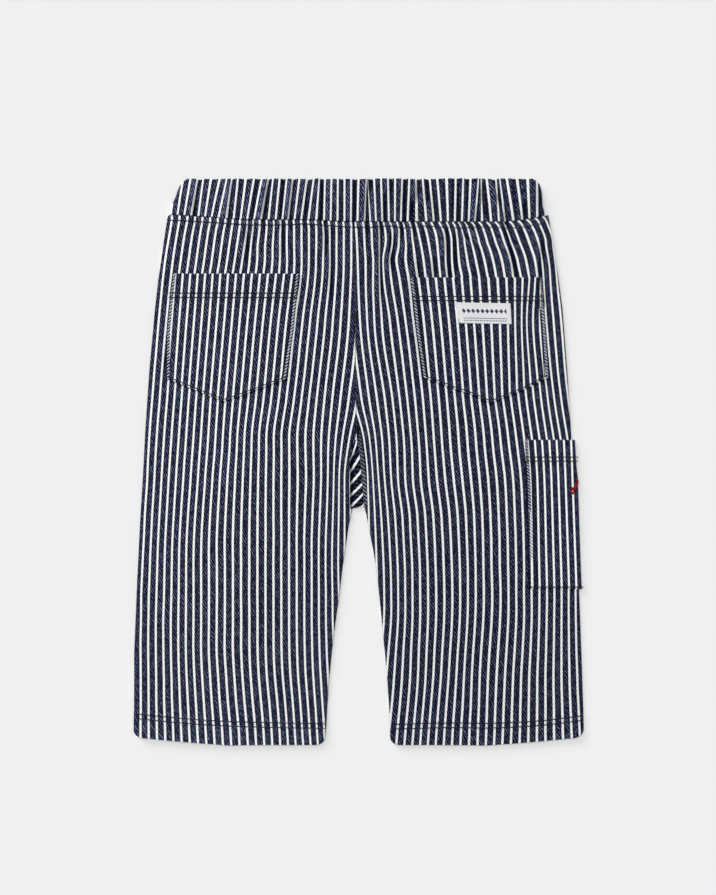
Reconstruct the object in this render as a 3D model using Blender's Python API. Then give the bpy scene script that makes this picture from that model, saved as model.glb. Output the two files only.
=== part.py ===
"""Pull-on trousers for a baby, laid flat on their front with the back up.

+Y points to the waist, +X to the wearer's right leg and +Z up. The origin lies on the surface that
they rest on, under the middle of the garment. Sizes are in millimetres, and levels are measured
down from the waistband's top edge.
"""
import math
from collections import namedtuple

import bmesh
import bpy
from mathutils import Vector

MM = 0.001

# Driving sizes.
LENGTH = 390.0             # waistband's top edge to the lowest point of the hems
GAP = 0.3                  # between neighbouring layers and across seams
CLOTH = 1.0                # wall of one layer of cloth
HEM_WALL = 1.6             # wall where a hem is turned up
BAND_WALL = 2.2            # waistband: two layers of cloth round the elastic
ROUNDING = 0.35            # how far a wall thins at its outer edge
EDGE = 2.2                 # width of that thinned edge
HEM_DEPTH = 18.0
HEM_CORNER = 5.5           # radius of the hems' lower corners
HEM_RISE = 5.6             # how far a hem curves up towards the side seam
HEM_RISE_REACH = 72.0
SEAM_LEVEL = 28.0          # usual level of the seam under the waistband
SEAM_FADE = 42.0           # over which the rows of cloth forget that seam's curve
CROTCH = 226.4             # level of the fork's lower edge
PUFF = 2.2                 # how far the gathers lift the back under the waistband
PUFF_REACH = 58.0
PUFF_SIDE = 9.0            # over which that puff comes down to the side seams
RIB = 1.9                  # height of the waistband's ribs over the elastic
POCKET_HEM = 14.0          # depth of the back pockets' turned top edge
SIDE_POCKET_HEM = 15.0
POCKET_CORNER = 0.6        # how far a back pocket's lower corners hang below its sides
POCKET_COLUMNS = 12
SIDE_POCKET_COLUMNS = 6
BAND_COLUMNS = 60
LIFT_RAMP = 8.0            # over which the cloth comes down beside the side pocket
LIFT_MARGIN = 5.0          # of full lift beside it

# Side edges of the garment, and the inner edges of its two halves: one line down to the fork, where
# the centre-back and centre-front seams run, and two below it, where the legs part.
Level = namedtuple("Level", "down left right")
SIDES = (
    Level(0.0, -118.5, 121.0),
    Level(3.4, -121.6, 124.3),
    Level(11.7, -125.1, 126.3),
    Level(23.4, -128.6, 130.2),
    Level(30.0, -131.4, 131.0),
    Level(48.9, -134.7, 134.7),
    Level(69.6, -138.1, 138.1),
    Level(90.3, -140.4, 140.7),
    Level(131.6, -144.2, 143.9),
    Level(172.9, -147.0, 146.5),
    Level(203.9, -148.6, 148.2),
    Level(234.9, -150.5, 150.2),
    Level(276.3, -152.6, 151.9),
    Level(328.0, -154.7, 153.8),
    Level(369.3, -155.4, 155.0),
    Level(LENGTH, -155.4, 155.4),
)
MIDDLE = (
    Level(0.0, -3.0, -3.0),
    Level(83.0, -2.4, -2.4),
    Level(152.0, -1.7, -1.7),
    Level(178.5, -1.0, -1.0),
    Level(190.0, 1.0, 1.0),
    Level(217.0, 3.4, 3.4),
    Level(CROTCH - 0.8, 4.1, 4.1),
    Level(CROTCH + 0.8, -4.1, 4.4),
    Level(238.0, -6.5, 6.7),
    Level(267.0, -10.8, 12.1),
    Level(289.0, -13.4, 14.5),
    Level(315.0, -17.1, 17.0),
    Level(345.0, -20.2, 19.8),
    Level(374.0, -22.0, 21.7),
    Level(LENGTH, -23.2, 21.8),
)

# Level of the seam under the waistband across the garment.
Across = namedtuple("Across", "x down")
WAIST_SEAM = (
    Across(-132.0, 24.4),
    Across(-106.0, 26.2),
    Across(-75.0, 28.2),
    Across(-40.0, 28.2),
    Across(-6.0, 29.5),
    Across(96.0, 29.6),
    Across(108.0, 28.9),
    Across(120.0, 27.2),
    Across(132.0, 24.6),
)

# Valleys between the gathers of the elastic waist: where each crosses the top edge and the seam, how
# far it runs on into the cloth below, its width and its share of the full depth.
Gather = namedtuple("Gather", "top seam reach width depth")
BACK_GATHERS = (
    Gather(-110.0, -114.0, 16.0, 4.0, 0.8),
    Gather(-91.0, -95.5, 12.0, 4.0, 0.7),
    Gather(-64.5, -70.0, 46.0, 4.5, 1.0),
    Gather(-50.0, -53.0, 30.0, 4.0, 0.9),
    Gather(-25.0, -25.5, 24.0, 4.5, 0.8),
    Gather(6.5, 5.5, 40.0, 4.5, 1.0),
    Gather(20.0, 19.0, 44.0, 4.0, 0.8),
    Gather(36.5, 33.0, 36.0, 4.0, 1.0),
    Gather(58.0, 61.0, 42.0, 4.0, 0.7),
    Gather(83.0, 79.5, 20.0, 4.5, 1.0),
    Gather(95.0, 99.0, 18.0, 4.0, 0.9),
    Gather(118.0, 122.0, 30.0, 4.0, 0.8),
)
FRONT_GATHERS = (
    Gather(-104.0, -107.0, 0.0, 4.0, 0.9),
    Gather(-82.0, -80.0, 0.0, 4.5, 0.7),
    Gather(-55.0, -57.0, 0.0, 4.0, 1.0),
    Gather(-36.0, -33.0, 0.0, 4.5, 0.8),
    Gather(3.0, 1.0, 0.0, 4.0, 0.7),
    Gather(40.0, 42.0, 0.0, 4.5, 1.0),
    Gather(63.0, 60.0, 0.0, 4.0, 0.8),
    Gather(92.0, 95.0, 0.0, 4.5, 0.9),
    Gather(112.0, 113.0, 0.0, 4.0, 0.7),
)
GROOVE = 0.7               # depth of the front waistband's valleys, on its underside

# Soft ridges in the back: the fold at the inside of the left leg beside the fork, and the crease
# that runs down from the waistband at the right side.
Ridge = namedtuple("Ridge", "x0 down0 x1 down1 height width")
RIDGES = (
    Ridge(-9.0, 186.0, -9.0, 232.0, 0.9, 6.0),
    Ridge(123.0, 42.0, 124.5, 68.0, 0.6, 6.0),
)

# Back pockets: level, then left and right edge; the last row is the lower corner of each side, and
# the tip hangs below it.
LEFT_POCKET = (
    Level(65.3, -127.5, -40.7),
    Level(79.3, -128.4, -42.3),
    Level(104.7, -132.0, -44.8),
    Level(137.5, -132.2, -49.8),
)
LEFT_POCKET_TIP = (-93.0, 153.6)
RIGHT_POCKET = (
    Level(68.0, 36.5, 124.9),
    Level(81.5, 38.8, 127.0),
    Level(104.0, 41.0, 128.2),
    Level(136.8, 45.5, 131.2),
)
RIGHT_POCKET_TIP = (91.2, 154.6)

# Side pocket, which wraps round the right side seam: level, inner edge, outermost edge.
SIDE_POCKET = (
    Level(180.0, 116.2, 149.2),
    Level(195.0, 117.3, 150.0),
    Level(206.0, 118.9, 151.2),
    Level(237.0, 119.9, 152.2),
    Level(269.0, 119.4, 153.3),
    Level(282.5, 120.4, 153.9),
)

# Label on the right back pocket: its corners.
LABEL = (
    Level(85.1, 65.8, 104.9),
    Level(100.0, 69.2, 105.8),
)

# Worked slits in the front waistband, where a cord can come out.
SLIT_X = 19.0
SLIT_WIDTH = 2.0
SLIT_TOP = 8.5
SLIT_BOTTOM = 19.5

# Levels of the rows of points in the four panels; the hem's own rows follow them.
PANEL_ROWS = (SEAM_LEVEL, 34.0, 42.0, 54.0, 72.0, 100.0, 135.0, 172.0, 179.0, 197.0, 212.0,
              CROTCH - 0.8, CROTCH + 0.8, 250.0, 284.0, 291.0, 330.0,
              LENGTH - HEM_DEPTH - 2.0, LENGTH - HEM_DEPTH)


def ease(share):
    """A smooth step from 0 to 1."""
    share = max(0.0, min(1.0, share))
    return share * share * (3.0 - 2.0 * share)


def mix(a, b, share):
    return a + (b - a) * share


def look_up(table, key, column, at):
    """The named column of a table, read in a straight line between its rows."""
    rows = list(table)
    if at <= getattr(rows[0], key):
        return getattr(rows[0], column)
    for upper, lower in zip(rows, rows[1:]):
        start, end = getattr(upper, key), getattr(lower, key)
        if at <= end:
            return mix(getattr(upper, column), getattr(lower, column), (at - start) / (end - start))
    return getattr(rows[-1], column)


def bump(distance, width):
    """A soft hill of height 1 that is gone at its width on either side."""
    share = abs(distance) / width
    return 0.0 if share >= 1.0 else 0.5 * (1.0 + math.cos(math.pi * share))


def corner_inset(down):
    """How far the hems' rounded lower corners draw the edges in."""
    below = down - (LENGTH - HEM_CORNER)
    if below <= 0.0:
        return 0.0
    return HEM_CORNER - math.sqrt(max(0.0, HEM_CORNER ** 2 - below ** 2))


def side_x(down, side):
    column = "left" if side < 0 else "right"
    return look_up(SIDES, "down", column, down)


def seam_level(x):
    return look_up(WAIST_SEAM, "x", "down", x)


def gather_valleys(gathers, x, down):
    """1 in the bottom of a gather's valley and 0 on the ribs."""
    depth = 0.0
    for gather in gathers:
        run = min(down, SEAM_LEVEL + gather.reach) / SEAM_LEVEL
        centre = mix(gather.top, gather.seam, min(run, 1.2))
        fade = 1.0 - ease((down - SEAM_LEVEL) / max(gather.reach, 1.0))
        depth = max(depth, gather.depth * fade * bump(x - centre, gather.width))
    return depth


def back_lift(x, down):
    """How far the back stands clear of the front: its puff under the waistband, and its ridges."""
    puff = PUFF * (1.0 - ease((down - SEAM_LEVEL) / PUFF_REACH))
    lift = puff * (1.0 - gather_valleys(BACK_GATHERS, x, down))
    for ridge in RIDGES:
        along = (down - ridge.down0) / (ridge.down1 - ridge.down0)
        if 0.0 < along < 1.0:
            centre = mix(ridge.x0, ridge.x1, along)
            ends = ease(4.0 * min(along, 1.0 - along))
            lift += ridge.height * ends * bump(x - centre, ridge.width)
    side = min(x - side_x(down, -1), side_x(down, 1) - x)
    return lift * ease(side / PUFF_SIDE)


def side_pocket_lift(x, down):
    """The cloth rises over the half of the side pocket that lies under it."""
    inner = look_up(SIDE_POCKET, "down", "left", down)
    across = (x - (inner - LIFT_MARGIN - LIFT_RAMP)) / LIFT_RAMP
    above = (down - (SIDE_POCKET[0].down - LIFT_RAMP)) / (LIFT_RAMP - 1.0)
    below = ((SIDE_POCKET[-1].down + LIFT_RAMP + 1.0) - down) / (LIFT_RAMP - 1.0)
    return (CLOTH + GAP) * ease(min(across, above, below))


def wall_at(down):
    return mix(CLOTH, HEM_WALL, ease((down - (LENGTH - HEM_DEPTH - 2.0)) / 2.0))


def front_bottom(x, down):
    return side_pocket_lift(x, down)


def front_top(x, down):
    return front_bottom(x, down) + wall_at(down)


def back_bottom(x, down):
    return front_top(x, down) + GAP + back_lift(x, down)


def back_top(x, down):
    return back_bottom(x, down) + wall_at(down)


def place(x, down, z):
    return Vector((x, LENGTH / 2.0 - down, z)) * MM


def material(name, colour, roughness):
    made = bpy.data.materials.new(name)
    made.use_nodes = True
    shader = made.node_tree.nodes["Principled BSDF"]
    shader.inputs["Base Color"].default_value = (*colour, 1.0)
    shader.inputs["Roughness"].default_value = roughness
    shader.inputs["Metallic"].default_value = 0.0
    return made


def cloth_wall(name, upper, lower, colour, open_cells=()):
    """A closed wall between two grids of points of the same size; open cells go right through."""
    mesh = bmesh.new()
    rows, columns = len(upper), len(upper[0])
    tops = [[mesh.verts.new(point) for point in row] for row in upper]
    bottoms = [[mesh.verts.new(point) for point in row] for row in lower]

    def solid(row, column):
        inside = 0 <= row < rows - 1 and 0 <= column < columns - 1
        return inside and (row, column) not in open_cells

    for row in range(rows - 1):
        for column in range(columns - 1):
            if not solid(row, column):
                continue
            corners = ((row, column), (row + 1, column), (row + 1, column + 1), (row, column + 1))
            for half in ((0, 1, 2), (0, 2, 3)):
                picked = [corners[index] for index in half]
                mesh.faces.new([tops[r][c] for r, c in picked])
                mesh.faces.new([bottoms[r][c] for r, c in reversed(picked)])
            neighbours = ((row, column - 1), (row + 1, column), (row, column + 1), (row - 1, column))
            for index, neighbour in enumerate(neighbours):
                if solid(*neighbour):
                    continue
                (r0, c0), (r1, c1) = corners[index], corners[(index + 1) % 4]
                mesh.faces.new([tops[r1][c1], tops[r0][c0], bottoms[r0][c0], bottoms[r1][c1]])
    data = bpy.data.meshes.new(name)
    mesh.to_mesh(data)
    mesh.free()
    data.shade_smooth()
    data.set_sharp_from_angle(angle=math.radians(40.0))
    made = bpy.data.objects.new(name, data)
    made.data.materials.append(material(name + "_cloth", colour, 0.85))
    bpy.context.scene.collection.objects.link(made)
    return made


def panel_shares(side):
    """Where a panel's lines of points cross it: on every valley and every rib of its gathers."""
    outer = side_x(SEAM_LEVEL, side)
    inner = look_up(MIDDLE, "down", "left", SEAM_LEVEL)
    valleys = [gather.seam for gather in BACK_GATHERS if (gather.seam < inner) == (side < 0)]
    left, right = min(outer, inner), max(outer, inner)
    stops = [left] + valleys + [right]
    ribs = [(a + b) / 2.0 for a, b in zip(stops, stops[1:])]
    return [(x - left) / (right - left) for x in sorted(valleys + ribs)]


def panel_columns(left, right, shares):
    """Places across a panel, with a narrow strip along both edges."""
    return [left, left + EDGE] + [mix(left, right, share) for share in shares] + [right - EDGE, right]


def row_level(x, down):
    """A row of cloth follows the waist seam at its top and the curve of the hem at its foot."""
    top = (seam_level(x) + GAP / 2.0 - SEAM_LEVEL) * (1.0 - ease((down - SEAM_LEVEL) / SEAM_FADE))
    from_side = min(x - side_x(down, -1), side_x(down, 1) - x)
    rise = HEM_RISE * max(0.0, 1.0 - max(from_side, 0.0) / HEM_RISE_REACH) ** 1.5
    foot = rise * ease((down - 320.0) / (LENGTH - 320.0))
    return down + top - foot


def hem_rows():
    """Levels round the hem's lower corners."""
    angles = (0.0, 35.0, 62.0, 90.0)
    return tuple(LENGTH - HEM_CORNER + HEM_CORNER * math.sin(math.radians(a)) for a in angles)


def panel(name, side, layer, colour):
    """One leg's back or front, from the waistband's seam to the hem."""
    upper, lower = [], []
    shares = panel_shares(side)
    for down in PANEL_ROWS + hem_rows():
        outer = side_x(down, side)
        inner = look_up(MIDDLE, "down", "left" if side < 0 else "right", down) + side * GAP / 2.0
        inset = corner_inset(down)
        left, right = (outer, inner) if side < 0 else (inner, outer)
        places = panel_columns(left + inset, right - inset, shares)
        tops, bottoms = [], []
        last = len(places) - 1
        for index, x in enumerate(places):
            level = row_level(x, down)
            at_side = index == (0 if side < 0 else last)
            at_leg = index == (last if side < 0 else 0) and down > CROTCH
            thin = ROUNDING if at_side or at_leg or down == LENGTH else 0.0
            if layer == "back":
                tops.append(place(x, level, back_top(x, down) - thin))
                bottoms.append(place(x, level, back_bottom(x, down)))
            else:
                tops.append(place(x, level, front_top(x, down)))
                bottoms.append(place(x, level, front_bottom(x, down) + thin))
        upper.append(tops)
        lower.append(bottoms)
    return cloth_wall(name, upper, lower, colour)


def waistband(name, layer, gathers, places, colour, open_cells=()):
    """Half of the elastic waistband, with its ribs on the outside."""
    levels = (0.0, 1.6, SLIT_TOP, SLIT_BOTTOM, SEAM_LEVEL)
    upper, lower = [], []
    for down in levels:
        left, right = side_x(down, -1), side_x(down, 1)
        tops, bottoms = [], []
        for share in places:
            x = mix(left, right, share)
            at_seam = seam_level(x) - 2.0 * GAP
            level = down if down < SEAM_LEVEL else at_seam
            valley = gather_valleys(gathers, x, down)
            edge = down == 0.0 or share in (0.0, 1.0)
            thin = ROUNDING if edge else 0.0
            rib = 0.0 if edge else RIB * (1.0 - valley)
            if layer == "back":
                tops.append(place(x, level, 2.0 * BAND_WALL + GAP + rib - thin))
                bottoms.append(place(x, level, BAND_WALL + GAP))
            else:
                tops.append(place(x, level, BAND_WALL))
                bottoms.append(place(x, level, GROOVE * valley + thin))
        upper.append(tops)
        lower.append(bottoms)
    return cloth_wall(name, upper, lower, colour, open_cells)


def pocket_foot(left, right, x, tip, corner_down):
    """Level of a pocket's pointed lower edge at x."""
    tip_x, tip_down = tip
    share = (x - left) / (tip_x - left) if x < tip_x else (right - x) / (right - tip_x)
    return mix(corner_down + POCKET_CORNER, tip_down, share)


def back_pocket(name, table, tip, colour):
    """A five-sided patch pocket, made from the points of the back moved out."""
    hem_end = table[0].down + POCKET_HEM
    corner = table[-1].down
    levels = [table[0].down, hem_end - 1.0, hem_end, 104.0, 120.0, corner]
    steps = [(level, 0.0) for level in levels] + [(corner, 0.5), (corner, 1.0)]
    upper, lower = [], []
    for level, to_foot in steps:
        left = look_up(table, "down", "left", level)
        right = look_up(table, "down", "right", level)
        tops, bottoms = [], []
        for column in range(POCKET_COLUMNS + 1):
            x = mix(left, right, column / POCKET_COLUMNS)
            down = mix(level, pocket_foot(left, right, x, tip, corner), to_foot)
            wall = mix(HEM_WALL, CLOTH, ease(down - (hem_end - 1.0)))
            thin = ROUNDING if column in (0, POCKET_COLUMNS) or to_foot == 1.0 else 0.0
            bottom = back_top(x, down) + GAP
            tops.append(place(x, down, bottom + wall - thin))
            bottoms.append(place(x, down, bottom))
        upper.append(tops)
        lower.append(bottoms)
    return cloth_wall(name, upper, lower, colour)


def side_pocket_rows():
    first, last = SIDE_POCKET[0].down, SIDE_POCKET[-1].down
    hem_end = first + SIDE_POCKET_HEM
    return (first, first + 2.0, hem_end - 1.0, hem_end, 206.0, 222.0, 240.0, 260.0, last - 2.0, last)


def side_pocket(name, layer, colour):
    """Half of the pocket that wraps round the side seam, with a lip down to the layers' middle."""
    way = 1.0 if layer == "back" else -1.0
    hem_end = SIDE_POCKET[0].down + SIDE_POCKET_HEM
    lip_end = 2.0 * CLOTH + 1.5 * GAP + way * GAP / 2.0
    upper, lower = [], []
    for down in side_pocket_rows():
        inner = look_up(SIDE_POCKET, "down", "left", down)
        outer = look_up(SIDE_POCKET, "down", "right", down)
        edge = side_x(down, 1)
        lip = max(edge + GAP, outer - CLOTH)
        near, far = [], []
        for column in range(SIDE_POCKET_COLUMNS + 1):
            x = mix(inner, edge - 0.6, column / SIDE_POCKET_COLUMNS)
            thin = ROUNDING if column == 0 else 0.0
            if layer == "back":
                skin = back_top(x, down) + GAP
                face = skin + mix(HEM_WALL, CLOTH, ease(down - (hem_end - 1.0))) - thin
            else:
                skin = CLOTH
                face = thin
            near.append((x, skin))
            far.append((x, face))
        near += [(lip - 0.15, skin - way * 0.2), (lip, lip_end)]
        far += [(outer - 0.4, face - way * 0.45), (outer, lip_end)]
        near = [place(x, down, z) for x, z in near]
        far = [place(x, down, z) for x, z in far]
        upper.append(far if layer == "back" else near)
        lower.append(near if layer == "back" else far)
    return cloth_wall(name, upper, lower, colour)


def label(name, colour):
    """A woven label that lies on the right back pocket."""
    columns, rows = 6, 2
    upper, lower = [], []
    for row in range(rows + 1):
        down = mix(LABEL[0].down, LABEL[1].down, row / rows)
        left = look_up(LABEL, "down", "left", down)
        right = look_up(LABEL, "down", "right", down)
        places = [mix(left, right, column / columns) for column in range(columns + 1)]
        bottoms = [back_top(x, down) + 2.0 * GAP + CLOTH for x in places]
        upper.append([place(x, down, z + CLOTH) for x, z in zip(places, bottoms)])
        lower.append([place(x, down, z) for x, z in zip(places, bottoms)])
    return cloth_wall(name, upper, lower, colour)


def build():
    for left_over in list(bpy.data.objects):
        bpy.data.objects.remove(left_over, do_unlink=True)

    stripe = (0.10, 0.11, 0.17)
    for side, hand in ((-1, "left"), (1, "right")):
        panel("front_" + hand, side, "front", stripe)
        panel("back_" + hand, side, "back", stripe)

    back_places = [index / BAND_COLUMNS for index in range(BAND_COLUMNS + 1)]
    waistband("waistband_back", "back", BACK_GATHERS, back_places, stripe)

    left, right = side_x(SLIT_TOP, -1), side_x(SLIT_TOP, 1)
    slit_edges = []
    for centre in (-SLIT_X, SLIT_X):
        for edge in (centre - SLIT_WIDTH / 2.0, centre + SLIT_WIDTH / 2.0):
            slit_edges.append((edge - left) / (right - left))
    plain = [index / 26 for index in range(27)]
    clear = [share for share in plain if min(abs(share - edge) for edge in slit_edges) > 0.009]
    front_places = sorted(clear + slit_edges)
    slits = {(2, front_places.index(slit_edges[0])), (2, front_places.index(slit_edges[2]))}
    waistband("waistband_front", "front", FRONT_GATHERS, front_places, stripe, slits)

    back_pocket("pocket_back_left", LEFT_POCKET, LEFT_POCKET_TIP, stripe)
    back_pocket("pocket_back_right", RIGHT_POCKET, RIGHT_POCKET_TIP, stripe)
    side_pocket("pocket_side_back", "back", stripe)
    side_pocket("pocket_side_front", "front", stripe)
    label("label", (0.75, 0.75, 0.78))


build()
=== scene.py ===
import math

import bpy
import numpy as np
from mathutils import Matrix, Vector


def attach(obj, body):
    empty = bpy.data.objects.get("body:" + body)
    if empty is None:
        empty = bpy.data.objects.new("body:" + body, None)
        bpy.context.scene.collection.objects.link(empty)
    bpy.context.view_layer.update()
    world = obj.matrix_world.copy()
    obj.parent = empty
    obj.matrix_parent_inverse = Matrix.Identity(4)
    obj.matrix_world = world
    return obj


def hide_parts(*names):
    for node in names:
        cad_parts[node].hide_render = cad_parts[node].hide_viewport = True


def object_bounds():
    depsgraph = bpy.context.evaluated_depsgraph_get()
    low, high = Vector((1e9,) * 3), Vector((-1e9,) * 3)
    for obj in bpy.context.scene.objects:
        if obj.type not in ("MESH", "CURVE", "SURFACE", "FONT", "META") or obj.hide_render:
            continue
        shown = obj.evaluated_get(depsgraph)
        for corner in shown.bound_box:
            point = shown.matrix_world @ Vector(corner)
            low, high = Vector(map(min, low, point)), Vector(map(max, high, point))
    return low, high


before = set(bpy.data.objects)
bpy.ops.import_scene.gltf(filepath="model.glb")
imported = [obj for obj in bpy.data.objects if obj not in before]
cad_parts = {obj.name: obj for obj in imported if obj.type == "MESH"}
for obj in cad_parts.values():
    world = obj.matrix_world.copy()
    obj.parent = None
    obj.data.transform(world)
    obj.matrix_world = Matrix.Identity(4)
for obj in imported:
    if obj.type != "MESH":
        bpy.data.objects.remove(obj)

# Pull-on trousers in striped twill, lying back up with the waist at +Y.
# Tables are in millimetres; "down" is measured from the waistband's top edge.

mm = 0.001
cadLow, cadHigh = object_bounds()
waistLine = cadHigh.y / mm
print("frame loaded with", len(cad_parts), "nodes")

cloth = {
    "wall": 0.62,         # one layer of twill
    "hem": 1.2,           # turned up twice
    "clear": 0.08,        # air between layers that lie on each other
    "pitch": 5.8,         # from white stripe to white stripe
    "aside": 0.4,         # the stripe tables give places this far left of a stripe's middle
    "lip": 0.45,          # how far its rounded edge stands out, as a share of the wall
}


def ease(share):
    share = np.clip(share, 0.0, 1.0)
    return share * share * (3.0 - 2.0 * share)


def mix(a, b, share):
    return a + (b - a) * share


def bell(distance, width):
    return np.exp(-(distance / width) ** 2)


def smoothCurve(knots, values, at):  # runs through every knot without overshooting, straight beyond
    knots, values, at = (np.asarray(v, float) for v in (knots, values, at))
    run = np.diff(knots)
    rise = np.diff(values) / run
    slope = np.concatenate([rise[:1], np.zeros(len(rise) - 1), rise[-1:]])
    before, after = rise[:-1], rise[1:]
    turning = before * after <= 0
    early, late = 2 * run[1:] + run[:-1], run[1:] + 2 * run[:-1]
    safeBefore, safeAfter = np.where(turning, 1, before), np.where(turning, 1, after)
    slope[1:-1] = np.where(turning, 0, (early + late) / (early / safeBefore + late / safeAfter))
    i = np.clip(np.searchsorted(knots, at) - 1, 0, len(run) - 1)
    raw = (at - knots[i]) / run[i]
    t = np.clip(raw, 0, 1)
    bend = (slope[i] * t * (1 - t) ** 2 - slope[i + 1] * t * t * (1 - t)) * run[i]
    beyond = np.where(raw < 0, slope[i], slope[i + 1]) * (raw - t) * run[i]
    return mix(values[i], values[i + 1], t * t * (3 - 2 * t)) + bend + beyond


def fromTable(table, column, at, key="down"):
    return smoothCurve(table[key], table[column], at)


def unevenness(x, down, size, seed):  # a smooth random field from -1 to 1
    values = np.random.RandomState(seed).uniform(-1, 1, (64, 64))
    across, along = x / size + 500.0, down / size + 500.0
    column, row = np.floor(across).astype(int), np.floor(along).astype(int)
    s, t = ease(across - column), ease(along - row)
    upper = mix(values[row % 64, column % 64], values[row % 64, (column + 1) % 64], s)
    lower = mix(values[(row + 1) % 64, column % 64], values[(row + 1) % 64, (column + 1) % 64], s)
    return mix(upper, lower, t)


def toMetres(x, down, z):
    return np.stack(np.broadcast_arrays(x, waistLine - down, z), -1) * mm


# Outline of the garment, and the inner edges of its two halves: the centre seam down to the
# fork, and the inside of each leg below it.
sides = {
    "down": (0, 3.4, 11.7, 23.4, 30, 48.9, 69.6, 90.3, 131.6, 172.9, 203.9, 234.9, 276.3, 328,
             369.3, 390),
    "left": (-118.5, -121.6, -125.1, -128.6, -131.4, -134.7, -138.1, -140.4, -144.2, -147,
             -148.6, -150.5, -152.6, -154.7, -155.4, -155.4),
    "right": (121, 124.3, 126.3, 130.2, 131, 134.7, 138.1, 140.7, 143.9, 146.5, 148.2, 150.2,
              151.9, 153.8, 155, 155.4),
}
middle = {
    "down": (0, 83, 152, 178.5, 190, 217, 225.6, 227.2, 238, 267, 289, 315, 345, 374, 390),
    "left": (-3, -2.4, -1.7, -1, 1, 3.4, 4.1, -4.1, -6.5, -10.8, -13.4, -17.1, -20.2, -22, -23.2),
    "right": (-3, -2.4, -1.7, -1, 1, 3.4, 4.1, 4.4, 6.7, 12.1, 14.5, 17, 19.8, 21.7, 21.8),
}
waistSeam = {
    "x": (-132, -106, -75, -40, -6, 96, 108, 120, 132),
    "down": (24.4, 26.2, 28.2, 28.2, 29.5, 29.6, 28.9, 27.2, 24.6),
}
body = {
    "length": 390.0,
    "seam": 28.0,          # usual level of the waist seam
    "seamReach": 42.0,     # how far below it the cloth still follows its curve
    "back": 2.35,          # top of the back where it lies flat
    "lowest": 1.36,        # where its creases rest on the front
    "front": 0.0,
    "edge": 1.15,          # level at which back and front meet at the side seams
    "waistEdge": 2.1,      # the same under the waistband
    "puff": 2.4,           # how far the gathers lift the back under the waistband
    "puffReach": 58.0,
    "slow": ((0.22, 46.0, 7), (0.10, 17.0, 8)),     # unevenness: height, size, seed
    "sideRoll": 0.35,      # how far the cloth stands up beside the side seams
    "pocketPull": 1.1,     # how far a pocket's stitches pull the back down beside it
    "hemDepth": 17.6,
    "hemRise": 5.6,        # how far the hem curves up towards the side seam
    "hemRiseReach": 72.0,
    "hemRiseFrom": 320.0,  # the cloth above this level doesn't follow the hem's curve
    "hemCorner": 5.5,
}
hemStitch = {              # height of the upper of the twin needle lines above the hem's edge
    "x": (-155, -105, -40, 24, 63, 128, 155),
    "up": (16.3, 16.3, 15.0, 14.4, 15.3, 14.3, 14.8),
    "apart": 3.2,
    "step": 0.5,           # how far the doubled cloth stands up
    "puckers": 0.12,
}


def sideEdge(side, down):
    return np.interp(down, sides["down"], sides[side])


def seamLevel(x):
    return fromTable(waistSeam, "down", x, "x")


def edgesOf(shape, down):  # a piece's left and right edge, or inner and outer one
    keys = ("left", "right") if "left" in shape else ("inner", "outer")
    return [np.interp(down, shape["down"], shape[key]) for key in keys]


def fromSides(x, down):  # distance in from the nearer side seam
    return np.minimum(x - sideEdge("left", down), sideEdge("right", down) - x)


def rowLevel(x, row):  # a row of cloth follows the waist seam at its top and the hem at its foot
    top = (seamLevel(x) - body["seam"]) * (1 - ease((row - body["seam"]) / body["seamReach"]))
    inwards = np.clip(fromSides(x, row), 0, body["hemRiseReach"]) / body["hemRiseReach"]
    rise = body["hemRise"] * (1 - inwards) ** 1.5
    start = body["hemRiseFrom"]
    return row + top - rise * ease((row - start) / (body["length"] - start))


def rolled(distance, reach):  # 1 at an edge that turns over, 0 from its reach inwards
    share = 1 - np.clip(distance / reach, 0, 1)
    return 1 - np.sqrt(np.maximum(0, 1 - share * share))


# Creases: a path from top to bottom, depth of the valley, its width, the cloth that it hides,
# and over how much of its length it fades in and out. With a positive lean the cloth is rolled
# up on the left of the valley, with a negative one on its right.
def crease(path, depth, width, hides, fadeIn, fadeOut, lean=0.0):
    return {"path": path, "depth": depth, "width": width, "hides": hides,
            "fadeIn": fadeIn, "fadeOut": fadeOut, "lean": lean}


creaseRidge = 0.35     # height of the rolls beside a valley, as a share of its depth


def creaseEffect(creases, x, down):  # (height, cloth hidden up to here)
    height = np.zeros(np.broadcast(x, down).shape)
    hidden = np.zeros_like(height)
    for fold in creases:
        xs, downs = zip(*fold["path"])
        across = (x - np.interp(down, downs, xs)) / fold["width"]
        start, end = (down - downs[0]) / fold["fadeIn"], (downs[-1] - down) / fold["fadeOut"]
        share = ease(start) * ease(end)
        leftRoll = (1 + fold["lean"]) * bell(across + 2.2, 1.3)
        rightRoll = (1 - fold["lean"]) * bell(across - 2.2, 1.3)
        cleft = np.exp(0.3 - 1.5 * np.sqrt(across * across + 0.04))
        height += share * fold["depth"] * (creaseRidge * (leftRoll + rightRoll) - cleft)
        hidden += share * fold["hides"] * 0.5 * (1 + np.tanh(across * 1.2))
    return height, hidden


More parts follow.
